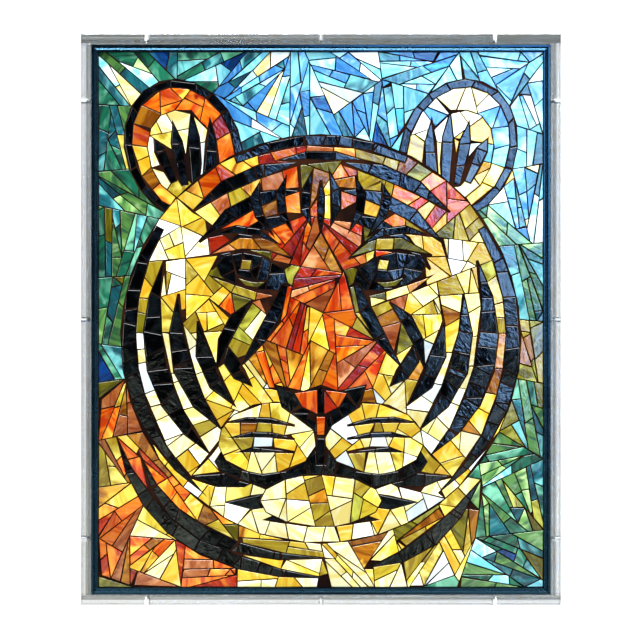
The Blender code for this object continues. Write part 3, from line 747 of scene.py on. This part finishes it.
@dataclass
class Shard:
    """One hand-cut piece of glass: an outline that is given thickness, a cut edge and a lean."""

    PLACE = "sheet_place"
    SHADE = "shade"

    outline: Outline
    level: float
    foot: float
    arris: float = 0.0005
    steepest: float = 0.010
    furthest: float = 0.00035
    sheet_width: float = 9.0

    def cut_into(self, shape: bmesh.types.BMesh, draw: random.Random) -> None:
        """Adds the piece to its sheet's mesh.

        Args:
            shape: The mesh of all the pieces of one sheet.
            draw: Where its lean, its shade and its place on the sheet come from.
        """
        corners = [shape.verts.new((spot.x, -self.foot, spot.z)) for spot in self.outline]
        face = shape.faces.new(corners)
        face.normal_update()
        if face.normal.y > 0:
            face.normal_flip()
        raised = bmesh.ops.extrude_face_region(shape, geom=[face], use_keep_orig=True)["geom"]
        top = next(item for item in raised if isinstance(item, bmesh.types.BMFace))
        bmesh.ops.translate(shape, verts=list(top.verts), vec=(0, self.foot - self.level, 0))
        face.normal_flip()
        rounded(shape, list(top.edges), self.arris)
        self.finish(shape, face, draw)

    def whole(self, foot: bmesh.types.BMFace) -> set[bmesh.types.BMFace]:
        """The faces of the piece, found from its lowest one.

        Args:
            foot: The piece's lowest face.

        Returns:
            All of its faces.
        """
        faces, waiting = set(), [foot]
        while waiting:
            face = waiting.pop()
            if face not in faces:
                faces.add(face)
                waiting.extend(near for edge in face.edges for near in edge.link_faces)
        return faces

    def finish(
        self, shape: bmesh.types.BMesh, foot: bmesh.types.BMFace, draw: random.Random
    ) -> None:
        """Leans the piece's top, and notes its shade and its place on the sheet it was cut from.

        Args:
            shape: The mesh of all the pieces of one sheet.
            foot: The piece's lowest face.
            draw: Where the lean, the shade and the place come from.
        """
        faces = self.whole(foot)
        middle = foot.calc_center_median()
        lean = [draw.uniform(-self.steepest, self.steepest) for _ in "xz"]
        shade, turn = draw.uniform(-1, 1), draw.uniform(0, math.tau)
        corner = Vector([draw.uniform(0, self.sheet_width) for _ in "uv"])
        shades = shape.verts.layers.float[self.SHADE]
        for vert in {vert for face in faces for vert in face.verts}:
            vert[shades] = shade
            away = vert.co - middle
            rise = lean[0] * away.x + lean[1] * away.z
            if away.y < -MERGE:
                vert.co.y += max(-self.furthest, min(self.furthest, rise))
        layer = shape.loops.layers.uv[self.PLACE]
        spin = Matrix.Rotation(turn, 2)
        for face in faces:
            face.smooth = False
            for loop in face.loops:
                loop[layer].uv = spin @ Vector((loop.vert.co.x, loop.vert.co.z)) + corner


@dataclass
class Mosaic:
    """The picture: pieces of glass from sixteen sheets, and the grout that they lie in."""

    bench: Bench
    node: str = "mosaic"
    slot: str = "glass_and_grout"
    thinnest_top: float = 0.0222
    sheet_step: float = 0.00005
    bed_back: float = 0.0183
    grout_level: float = 0.0213
    foot: float = 0.0206
    front: float = -0.99
    joint: float = 0.0014
    slip: float = 0.00035
    largest: float = 0.00054
    longest: float = 0.046
    longest_spike: float = 0.054
    widest_spike: float = 0.025
    allowance: Range = (0.75, 1.25)
    spikes: float = 0.15
    past_middle: Range = (0.1, 0.4)
    turn_of_wedge: float = 0.4
    smallest: float = 0.000012
    near_middle: Range = (0.38, 0.62)
    lean_of_cut: float = 0.4
    lean_of_spike: float = 0.9
    corner_cuts: float = 0.45
    grout_cells: tuple[int, int] = (150, 180)
    grout_lumps: float = 160.0
    grout_relief: float = 0.00022
    face_middle: float = -0.025
    face_reach: Range = (0.256, 0.262)
    ear: Sizes = (0.176, 0.218, 0.078)
    eye: Sizes = (0.088, 0.065, 0.030)
    nose: Sizes = (0.088, -0.10, 0.115)
    middle: Sizes = (0.135, -0.10, 0.19)
    shoulders: Range = (0.185, -0.13)
    seed: int = 47

    def model_pieces(self) -> Iterator[tuple[Sheet, Outline]]:
        """The flat tops of the model's pieces, each with the sheet that its height tells.

        Yields:
            The sheet and the outline of each piece.
        """
        shape = self.bench.copy_of(self.node)
        sheets = list(Sheet)
        for face in shape.faces:
            level = -face.calc_center_median().y
            number = round((level - self.thinnest_top) / self.sheet_step)
            if face.normal.y < self.front and 0 <= number < len(sheets):
                yield sheets[number], [Vector((vert.co.x, 0, vert.co.z)) for vert in face.verts]
        shape.free()

    def area(self, outline: Outline) -> float:
        """The area inside an outline."""
        pairs = zip(outline, outline[1:] + outline[:1])
        return abs(sum(a.x * b.z - b.x * a.z for a, b in pairs)) / 2

    def long_way(self, outline: Outline) -> tuple[Vector, float]:
        """The direction in which an outline spreads most, and how far it reaches along it.

        Args:
            outline: The corners of a piece.

        Returns:
            The direction and the reach.
        """
        middle = middle_of(outline)
        xx = sum((spot.x - middle.x) ** 2 for spot in outline)
        zz = sum((spot.z - middle.z) ** 2 for spot in outline)
        xz = sum((spot.x - middle.x) * (spot.z - middle.z) for spot in outline)
        turn = 0.5 * math.atan2(2 * xz, xx - zz)
        along = Vector((math.cos(turn), 0, math.sin(turn)))
        reach = [spot.dot(along) for spot in outline]
        return along, max(reach) - min(reach)

    def side_of_cut(self, outline: Outline, place: Vector, normal: Vector) -> list[Outline]:
        """What is left of a piece behind a straight cut.

        Args:
            outline: The corners of the piece.
            place: A point of the cut.
            normal: The direction that is cut away.

        Returns:
            The outlines that are left.
        """
        flat = bmesh.new()
        flat.faces.new([flat.verts.new(spot) for spot in outline])
        flat.normal_update()
        geometry = [*flat.verts, *flat.edges, *flat.faces]
        cut = {"plane_co": place, "plane_no": normal, "clear_outer": True}
        bmesh.ops.bisect_plane(flat, geom=geometry, dist=MERGE, **cut)
        left = [[vert.co.copy() for vert in face.verts] for face in flat.faces]
        flat.free()
        return left

    def near(self, spot: Vector, ring: Sizes) -> bool:
        """Whether a place lies in a ring, given by its centre and radius, on either side."""
        return math.hypot(abs(spot.x) - ring[0], spot.z - ring[1]) < ring[2]

    def between(self, spot: Vector, strip: Sizes) -> bool:
        """Whether a place lies in an upright strip, given by its half width, foot and head."""
        return abs(spot.x) < strip[0] and strip[1] < spot.z < strip[2]

    def in_face(self, spot: Vector) -> bool:
        """Whether a place lies in the head or in an ear, where the glass follows the drawing."""
        out = (spot.x / self.face_reach[0], (spot.z - self.face_middle) / self.face_reach[1])
        return math.hypot(*out) < 1 or self.near(spot, self.ear)

    def companions(self, sheet: Sheet, spot: Vector) -> list[str]:
        """The sheets that the parts of a piece are cut from; a name given twice is likelier.

        Args:
            sheet: The sheet of the model's piece.
            spot: The middle of the part.

        Returns:
            The names of the sheets.
        """
        palette = COMPANIONS
        if self.near(spot, self.eye):
            palette = IN_EYES
        elif self.in_face(spot):
            if self.between(spot, self.middle):
                palette = IN_MIDDLE
        elif spot.z > self.shoulders[1] or spot.x > self.shoulders[0]:
            palette = BEHIND if spot.z > 0 else LOW_BEHIND
        return palette.get(sheet, COMPANIONS[sheet]).split()

    def line_across(self, part: Outline, draw: random.Random, lean: float) -> tuple[Vector, Vector]:
        """A cut across a part, near its middle.

        Args:
            part: The corners of the part.
            draw: Where the place and the slant of the cut come from.
            lean: The most that the cut slants.

        Returns:
            A point of the cut, and the direction square to it.
        """
        along, reach = self.long_way(part)
        wanted = min(spot.dot(along) for spot in part) + reach * draw.uniform(*self.near_middle)
        slant = draw.uniform(-lean, lean)
        anchor = middle_of(part)
        anchor += along * (wanted - anchor.dot(along))
        if draw.random() < self.corner_cuts:
            anchor = min(part, key=lambda spot: abs(spot.dot(along) - wanted))
        normal = Vector((along.x - slant * along.z, 0, along.z + slant * along.x))
        return anchor, normal.normalized()

    def line_along(self, part: Outline, draw: random.Random) -> tuple[Vector, Vector]:
        """A cut down the length of a part, which leaves two spikes, or two long wedges.

        Args:
            part: The corners of the part.
            draw: Where the cut's place and its aim come from.

        Returns:
            A point of the cut, and the direction square to it.
        """
        along, reach = self.long_way(part)
        along *= draw.choice((-1, 1))
        start = min(part, key=lambda spot: spot.dot(along))
        middle = middle_of(part)
        aim = middle + along * reach * draw.uniform(*self.past_middle) - start
        if draw.random() > self.spikes:
            start = middle
            turn = draw.uniform(-self.turn_of_wedge, self.turn_of_wedge)
            aim = Matrix.Rotation(turn, 3, "Y") @ along
        return start, Vector((-aim.z, 0, aim.x)).normalized()

    def cut_up(self, outline: Outline, draw: random.Random, spiky: bool) -> list[Outline]:
        """Cuts a piece across again and again, until no part is too large or too long.

        Args:
            outline: The corners of the piece.
            draw: Where the places and the leans of the cuts come from.
            spiky: Whether it is cut to spikes, and not to blocks.

        Returns:
            The outlines of the parts.
        """
        longest = self.longest_spike if spiky else self.longest
        lean = self.lean_of_spike if spiky else self.lean_of_cut
        done, waiting = [], [outline]
        while waiting:
            part = waiting.pop()
            area, reach = self.area(part), self.long_way(part)[1]
            ratio = draw.uniform(*self.allowance)
            if area < self.smallest:
                continue
            if area < self.largest * ratio and reach < longest * ratio:
                done.append(part)
                continue
            if spiky and 2 * area / reach > self.widest_spike * ratio:
                anchor, normal = self.line_along(part, draw)
            else:
                anchor, normal = self.line_across(part, draw, lean)
            gap = normal * self.joint / 2
            waiting += self.side_of_cut(part, anchor - gap, normal)
            waiting += self.side_of_cut(part, anchor + gap, -normal)
        return done

    def laid(self, part: Outline, inside: tuple[Vector, Vector], draw: random.Random) -> Outline:
        """A part as a hand lays it: a little turned and a little aside, but within the rim.

        Args:
            part: The corners of the part.
            inside: The lowest and the highest corner of the field.
            draw: Where the turn and the shift come from.

        Returns:
            Its corners where it lies.
        """
        low, high = inside
        middle = middle_of(part)
        reach = max((spot - middle).length for spot in part)
        turn = Matrix.Rotation(draw.uniform(-1, 1) * self.slip / reach, 3, "Y")
        shift = Vector((draw.uniform(-0.5, 0.5), 0, draw.uniform(-0.5, 0.5))) * self.slip
        spots = [middle + turn @ (spot - middle) + shift for spot in part]
        for spot in spots:
            spot.x, spot.z = max(low.x, min(high.x, spot.x)), max(low.z, min(high.z, spot.z))
        return spots

    def shards(self, draw: random.Random) -> dict[Sheet, list[Outline]]:
        """Every piece of glass, by the sheet that it is cut from.

        Args:
            draw: Where the cuts and the choice of the sheets come from.

        Returns:
            The outlines of each sheet's pieces.
        """
        dealt, box = {sheet: [] for sheet in Sheet}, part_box(self.node)
        for sheet, outline in self.model_pieces():
            middle = middle_of(outline)
            splinters = self.between(middle, self.nose) or not self.in_face(middle)
            for part in self.cut_up(outline, draw, splinters and sheet is not Sheet.BLACK):
                names = self.companions(sheet, middle_of(part))
                dealt[Sheet[draw.choice(names)]].append(self.laid(part, box, draw))
        return dealt

    def grout(self) -> bmesh.types.BMesh:
        """The grout: an uneven surface between the pieces, closed to a slab behind them.

        Returns:
            Its mesh.
        """
        low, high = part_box(self.node)
        shape = bmesh.new()
        across, up = self.grout_cells
        bmesh.ops.create_grid(shape, x_segments=across, y_segments=up, size=0.5)
        size, middle = high - low, middle_of((low, high))
        bmesh.ops.scale(shape, vec=(size.x, size.z, 1.0), verts=shape.verts)
        upright = Matrix.Rotation(math.pi / 2, 3, "X")
        bmesh.ops.rotate(shape, verts=shape.verts, matrix=upright)
        place = (middle.x, -self.grout_level, middle.z)
        bmesh.ops.translate(shape, verts=shape.verts, vec=place)
        border = [edge for edge in shape.edges if edge.is_boundary]
        for vert in shape.verts:
            spot = Vector((vert.co.x * self.grout_lumps, vert.co.z * self.grout_lumps, 0))
            vert.co.y += self.grout_relief * noise.noise(spot)
        walls = bmesh.ops.extrude_edge_only(shape, edges=border)["geom"]
        for vert in (item for item in walls if isinstance(item, bmesh.types.BMVert)):
            vert.co.y = -self.bed_back
        edges = [item for item in walls if isinstance(item, bmesh.types.BMEdge)]
        bmesh.ops.contextual_create(shape, geom=[edge for edge in edges if edge.is_boundary])
        bmesh.ops.recalc_face_normals(shape, faces=shape.faces)
        return shape

    def build(self) -> None:
        """Makes the glass of each sheet and the grout."""
        draw = random.Random(self.seed)
        total = 0
        for number, (sheet, outlines) in enumerate(self.shards(draw).items()):
            shape = bmesh.new()
            shape.verts.layers.float.new(Shard.SHADE)
            shape.loops.layers.uv.new(Shard.PLACE)
            level = self.thinnest_top + self.sheet_step * number
            for outline in outlines:
                Shard(outline, level, self.foot).cut_into(shape, draw)
            total += len(outlines)
            glass = sheet.glass
            self.bench.piece(glass.name, shape, glass.material(), self.node, self.slot)
        LOG.info("%d pieces of glass", total)
        finish = Grout("grout").material()
        self.bench.piece("grout_bed", self.grout(), finish, self.node, self.slot)


@dataclass
class Rim:
    """Four glossy bars round the glass, stepped down towards it."""

    bench: Bench
    slot: str = "rim"
    edge: float = 0.0002
    foot: float = 0.0006
    crest: float = 0.0030
    groove: tuple[float, float, float, float] = (0.0034, 0.0014, 0.0044, 0.0016)
    lip: Sizes = (0.0071, 0.0005, 0.0083)
    lip_edge: float = 0.0013

    def section(self, low: float, high: float, width: float) -> list[Range]:
        """The section of a bar: the way in from its outer side, and the depth, at each corner.

        Args:
            low: The depth of its front.
            high: The depth of its back.
            width: How wide it is.

        Returns:
            The corners.
        """
        drops = [(0.0, self.foot), (self.foot, 0.0), (self.crest, 0.0)]
        drops += [self.groove[:2], self.groove[2:], self.lip[:2]]
        drops += [(self.lip[2], self.lip[1]), (width, self.lip_edge)]
        return [(0.0, high), *((place, low + drop) for place, drop in drops), (width, high)]

    def bar(self, side: str, way: Vector) -> bmesh.types.BMesh:
        """One bar: its section drawn out between mitred ends.

        Args:
            side: Which bar it is.
            way: The direction out of the panel.

        Returns:
            Its mesh.
        """
        low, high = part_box("rim_" + side)
        along = Vector((abs(way.z), 0, abs(way.x)))
        inner, outer = sorted((abs(low.dot(way)), abs(high.dot(way))))
        reach = high.dot(along)
        shape = bmesh.new()
        ends = []
        for end in (-1, 1):
            spots = [
                way * (outer - place) + along * end * (reach - place) + Vector((0, depth, 0))
                for place, depth in self.section(low.y, high.y, outer - inner)
            ]
            ends.append([shape.verts.new(spot) for spot in spots])
        turned_on = [end[1:] + end[:1] for end in ends]
        for near, far in zip(zip(*ends), zip(*turned_on)):
            shape.faces.new((near[0], far[0], far[1], near[1]))
        for end in ends:
            shape.faces.new(end)
        bmesh.ops.recalc_face_normals(shape, faces=shape.faces)
        self.bench.soften(shape, self.edge)
        return shape

    def build(self) -> None:
        """Makes the bars."""
        finish = GlossPaint("rim_black_gloss").material()
        for side, way in SIDES.items():
            bar = self.bar(side, way)
            self.bench.piece(f"rim_bar_{side}", bar, finish, f"rim_{side}", self.slot)


@dataclass
class AcrylicCase:
    """The four clear walls, with their counterbored screw holes."""

    bench: Bench
    slot: str = "acrylic"
    edge: float = 0.0005
    round_sides: int = 24
    bore: float = 0.0041
    counterbore: float = 0.0063
    seat_share: float = 0.34

    def wall(self, side: str) -> bmesh.types.BMesh:
        """One wall as a block with softened edges, as large as the model's.

        Args:
            side: Which wall it is.

        Returns:
            Its mesh, without its holes.
        """
        low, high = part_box(f"acrylic_wall_{side}")
        shape = bmesh.new()
        bmesh.ops.create_cube(shape, size=1.0)
        bmesh.ops.scale(shape, vec=high - low, verts=shape.verts)
        bmesh.ops.translate(shape, vec=(low + high) / 2, verts=shape.verts)
        self.bench.soften(shape, self.edge)
        return shape

    def faces(self, side: str, way: Vector) -> Range:
        """How far out a wall's inner and outer face lie."""
        return tuple(sorted(abs(corner.dot(way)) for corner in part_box(f"acrylic_wall_{side}")))

    def hole(self, side: str, number: int, way: Vector) -> bmesh.types.BMesh:
        """The cutter of one hole: a bore, and a wider counterbore to the outside.

        Args:
            side: Which wall it is in.
            number: Which of the wall's screws goes through it.
            way: The direction out of the wall.

        Returns:
            The cutter's mesh.
        """
        inner, outer = self.faces(side, way)
        thickness = outer - inner
        seat, past = inner + thickness * self.seat_share, thickness / 4
        profile = [(inner - past, 0.0), (inner - past, self.bore / 2), (seat, self.bore / 2)]
        profile += [(seat, self.counterbore / 2), (outer + past, self.counterbore / 2)]
        profile.append((outer + past, 0.0))
        middle = middle_of(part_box(f"screw_{side}_{number}"))
        return turned(profile, self.round_sides, middle - way * middle.dot(way), way)

    def drilled(self, side: str, way: Vector) -> bmesh.types.BMesh:
        """One wall with its three holes.

        Args:
            side: Which wall it is.
            way: The direction out of it.

        Returns:
            Its finished mesh.
        """
        joined, spare = bmesh.new(), bpy.data.meshes.new("spare")
        for number in SCREWS_IN_WALL:
            hole = self.hole(side, number, way)
            hole.to_mesh(spare)
            hole.free()
            joined.from_mesh(spare)
        block, cutters = stood("block", self.wall(side)), stood("cutters", joined)
        cut = block.modifiers.new("holes", "BOOLEAN")
        cut.object = cutters
        bpy.context.view_layer.update()
        depsgraph = bpy.context.evaluated_depsgraph_get()
        finished = bpy.data.meshes.new_from_object(block.evaluated_get(depsgraph))
        shape = bmesh.new()
        shape.from_mesh(finished)
        for mesh in (block.data, cutters.data, spare, finished):
            bpy.data.meshes.remove(mesh)
        return shape

    def acrylic(self, run: Run, side: str, way: Vector) -> bpy.types.Material:
        """The finish of a wall, fitted to its faces and its holes.

        Args:
            run: Which kind of wall it is.
            side: Which wall it is.
            way: The direction out of it.

        Returns:
            The new material.
        """
        inner, outer = self.faces(side, way)
        thickness = outer - inner
        last = middle_of(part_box(f"screw_{side}_{SCREWS_IN_WALL[-1]}"))
        holes_at = abs(last.dot(Vector((way.z, 0, way.x))))
        places = (inner, thickness, holes_at, self.counterbore, thickness * self.seat_share)
        # Each kind of wall gets its own copy of the clear acrylic, painted darker or lighter.
        return ClearAcrylic(f"acrylic_{run.name.lower()}", run, *places).material()

    def build(self) -> None:
        """Makes the walls."""
        finishes = {}
        for side, way in SIDES.items():
            run = Run[side.upper()] if way.z else Run.UPRIGHT
            if run not in finishes:
                finishes[run] = self.acrylic(run, side, way)
            wall, node = self.drilled(side, way), f"acrylic_wall_{side}"
            self.bench.piece(f"clear_wall_{side}", wall, finishes[run], node, self.slot)


@dataclass
class Screws:
    """Twelve steel screws with a pan head and a round socket."""

    bench: Bench
    slot: str = "screw"
    round_sides: int = 24
    head: float = 0.0056
    head_height: float = 0.0022
    shank: float = 0.0034
    socket: float = 0.0026
    socket_depth: float = 0.0013
    chamfer: float = 0.0005
    thread_pitch: float = 0.0014
    thread_depth: float = 0.00035

    def profile(self, length: float) -> list[Range]:
        """The screw's outline from its tip: the radius at each place along it.

        Args:
            length: From the tip to the top of the head.

        Returns:
            The pairs of place and radius.
        """
        under_head, root = length - self.head_height, self.shank / 2 - self.thread_depth
        turns = [(0.0, 0.0), (self.shank, root)]
        place = self.shank
        while place + self.thread_pitch < under_head - self.shank:
            turns.append((place + self.thread_pitch / 2, self.shank / 2))
            turns.append((place + self.thread_pitch, root))
            place += self.thread_pitch
        turns += [(under_head - self.shank / 2, self.shank / 2), (under_head, self.shank / 2)]
        turns += [(under_head, self.head / 2), (length - self.chamfer, self.head / 2)]
        turns += [(length, self.head / 2 - self.chamfer), (length, self.socket / 2)]
        floor = length - self.socket_depth
        return [*turns, (floor, self.socket / 2), (floor, 0.0)]

    def screw(self, node: str) -> bmesh.types.BMesh:
        """One screw, as long as the model's and in its place.

        Args:
            node: The model's screw.

        Returns:
            Its mesh.
        """
        low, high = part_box(node)
        size, middle = high - low, (low + high) / 2
        axis = 2 if size.z > size.x else 0
        way = Vector((0, 0, 0))
        way[axis] = math.copysign(1, middle[axis])
        tip = middle - way * size[axis] / 2
        return turned(self.profile(size[axis]), self.round_sides, tip, way)

    def build(self) -> None:
        """Makes the screws."""
        finish = ScrewSteel("screw_steel").material()
        for node in (f"screw_{side}_{number}" for side in SIDES for number in SCREWS_IN_WALL):
            self.bench.piece(f"turned_{node}", self.screw(node), finish, node, self.slot)


@dataclass
class Board:
    """The painted board behind the glass."""

    bench: Bench
    node: str = "backing_board"
    slot: str = "board"
    edge: float = 0.0008
    sharper: float = 60.0

    def build(self) -> None:
        """Makes the board."""
        shape, finish = self.bench.copy_of(self.node), BoardPaint("board_paint").material()
        self.bench.soften(shape, self.edge, self.sharper)
        self.bench.piece("painted_board", shape, finish, self.node, self.slot)


@dataclass
class Surround:
    """A white surround that lights the panel softly, with sky and ground for it to mirror."""

    dark_behind: Range = (-0.97, -0.80)
    room_strength: Range = (0.0, 0.20)
    room_colour: Colour = (0.66, 0.82, 1.0)
    near_axis: Range = (-0.97, -0.95)
    sky_edge: Range = (0.054, 0.074)
    sky_end: Range = (0.14, 0.18)
    sky_left: Range = (-0.01, 0.01)
    sky_strength: float = 13.0
    sky_colour: Colour = (0.12, 0.36, 0.95)
    cloud_colour: Colour = (0.62, 0.86, 1.0)
    clouds: Sizes = (42.0, 4.0, 0.5)
    cloud_edge: Range = (0.42, 0.62)
    ground_edge: Range = (-0.050, -0.030)
    ground_aside: Range = (0.012, 0.032)
    ground_strength: float = 4.0
    ground_colour: Colour = (0.90, 1.0, 0.86)
    patches: Sizes = (60.0, 3.0, 1.2)
    patch_edge: Range = (0.46, 0.60)
    patch_depth: Range = (0.1, 1.0)

    def glow(self, wiring: Wiring, colour: Source, strength: Source) -> Socket:
        """Light of one colour and strength."""
        inputs = {"Color": colour, "Strength": strength}
        return wiring.add("ShaderNodeBackground", inputs).outputs[0]

    def sky(self, wiring: Wiring, way: Socket, behind: Socket) -> Socket:
        """Sky and clouds in the upper right, behind the camera.

        Args:
            wiring: The wiring of the world.
            way: The direction that light comes from.
            behind: The mask of what lies close behind the camera.

        Returns:
            Its light.
        """
        parts = wiring.apart(way)
        upward = wiring.plus(parts["X"], parts["Z"])
        rising = wiring.steps(upward, self.sky_edge)
        fading = wiring.steps(upward, self.sky_end, (1.0, 0.0))
        corner = wiring.times(rising, fading, wiring.steps(parts["X"], self.sky_left))
        clouds = wiring.steps(wiring.noise(way, *self.clouds), self.cloud_edge)
        colour = wiring.mix(clouds, self.sky_colour, self.cloud_colour)
        return self.glow(wiring, colour, wiring.times(corner, behind, self.sky_strength))

    def ground(self, wiring: Wiring, way: Socket, behind: Socket) -> Socket:
        """Patchy ground, low on both sides behind the camera.

        Args:
            wiring: The wiring of the world.
            way: The direction that light comes from.
            behind: The mask of what lies close behind the camera.

        Returns:
            Its light.
        """
        parts = wiring.apart(way)
        low = wiring.steps(parts["Z"], self.ground_edge, (1.0, 0.0))
        aside = wiring.steps(wiring.away(parts["X"]), self.ground_aside)
        patches = wiring.steps(wiring.noise(way, *self.patches), self.patch_edge, self.patch_depth)
        strength = wiring.times(low, aside, patches, behind, self.ground_strength)
        return self.glow(wiring, self.ground_colour, strength)

    def build(self) -> None:
        """Puts up the surround, which the camera sees as white."""
        world = bpy.data.worlds.new("surround")
        world.use_nodes = True
        bpy.context.scene.world = world
        world.node_tree.nodes.clear()
        wiring = Wiring(world.node_tree)
        way = wiring.add("ShaderNodeTexCoord").outputs["Generated"]
        depth = wiring.apart(way)["Y"]
        behind = wiring.steps(depth, self.near_axis, (1.0, 0.0))
        room = wiring.steps(depth, self.dark_behind, self.room_strength)
        light = self.glow(wiring, self.room_colour, room)
        for glow in (self.sky(wiring, way, behind), self.ground(wiring, way, behind)):
            light = wiring.add("ShaderNodeAddShader", {0: light, 1: glow}).outputs[0]
        seen = wiring.add("ShaderNodeLightPath").outputs
        straight = wiring.math("MAXIMUM", seen["Is Camera Ray"], seen["Is Transmission Ray"])
        inputs = {0: straight, 1: light, 2: self.glow(wiring, (1.0, 1.0, 1.0), 1.0)}
        both = wiring.add("ShaderNodeMixShader", inputs).outputs[0]
        wiring.add("ShaderNodeOutputWorld", {"Surface": both})


@dataclass(frozen=True)
class SoftLight:
    """A soft light that faces the panel: its place, width, height, watts and colour."""

    name: str
    place: Sizes
    width: float
    height: float
    power: float
    colour: Colour

    def build(self) -> None:
        """Puts up the light."""
        data = bpy.data.lights.new(self.name, "AREA")
        data.shape, data.size, data.size_y = "RECTANGLE", self.width, self.height
        data.energy, data.color = self.power, self.colour
        lamp = bpy.data.objects.new(self.name, data)
        lamp.location = self.place
        lamp.rotation_euler = (-Vector(self.place)).to_track_quat("-Z", "Y").to_euler()
        bpy.context.scene.collection.objects.link(lamp)


@dataclass
class Studio:
    """The camera, the soft lights, the white surround and a pale floor well below."""

    distance: float = 4.9
    lens: float = 214.2
    sensor: float = 36.0
    aside: float = -0.0011
    lower: float = -0.0006
    floor_level: float = -0.9
    floor_width: float = 4.0
    floor_colour: Colour = (0.86, 0.86, 0.85)
    floor_roughness: float = 0.8
    lights: tuple[SoftLight, ...] = (
        SoftLight("soft_left", (-2.6, -1.2, 0.4), 0.9, 1.6, 44.0, (1.0, 0.97, 0.92)),
        SoftLight("soft_right", (2.6, -1.2, 0.4), 0.9, 1.6, 44.0, (0.96, 0.99, 1.0)),
        SoftLight("soft_top", (0.0, -3.5, 4.0), 2.4, 1.6, 285.0, (0.88, 0.95, 1.0)),
    )

    def camera(self) -> None:
        """Puts the camera square in front of the panel."""
        data = bpy.data.cameras.new("camera")
        data.lens, data.sensor_width = self.lens, self.sensor
        camera = bpy.data.objects.new("camera", data)
        camera.location = (self.aside, -self.distance, self.lower)
        camera.rotation_euler = (math.pi / 2, 0, 0)
        bpy.context.scene.collection.objects.link(camera)
        bpy.context.scene.camera = camera

    def floor(self) -> None:
        """A plain pale floor, below the view."""
        shape = bmesh.new()
        bmesh.ops.create_grid(shape, x_segments=1, y_segments=1, size=self.floor_width / 2)
        bmesh.ops.translate(shape, verts=shape.verts, vec=(0, 0, self.floor_level))
        made = stood("floor", shape)
        material, wiring, shader = Finish("floor_pale").start()
        wiring.fit(shader, {"Base Color": self.floor_colour, "Roughness": self.floor_roughness})
        made.data.materials.append(material)

    def build(self) -> None:
        """Sets up the studio."""
        self.camera()
        Surround().build()
        self.floor()
        for light in self.lights:
            light.build()
        bpy.context.scene.view_settings.view_transform = "Standard"
        bpy.context.scene.view_settings.look = "Medium High Contrast"


def main() -> None:
    """Builds the studio and the panel, and reports each piece."""
    logging.basicConfig(level=logging.INFO, format="%(name)s: %(message)s")
    GlassSheetGroup()
    WearGroup()
    Studio().build()
    bench = Bench()
    for part in (Board, Mosaic, Rim, AcrylicCase, Screws):
        part(bench).build()
    LOG.info("%d pieces, %d faces", len(bench.counts), sum(bench.counts.values()))


if __name__ == "__main__":
    main()
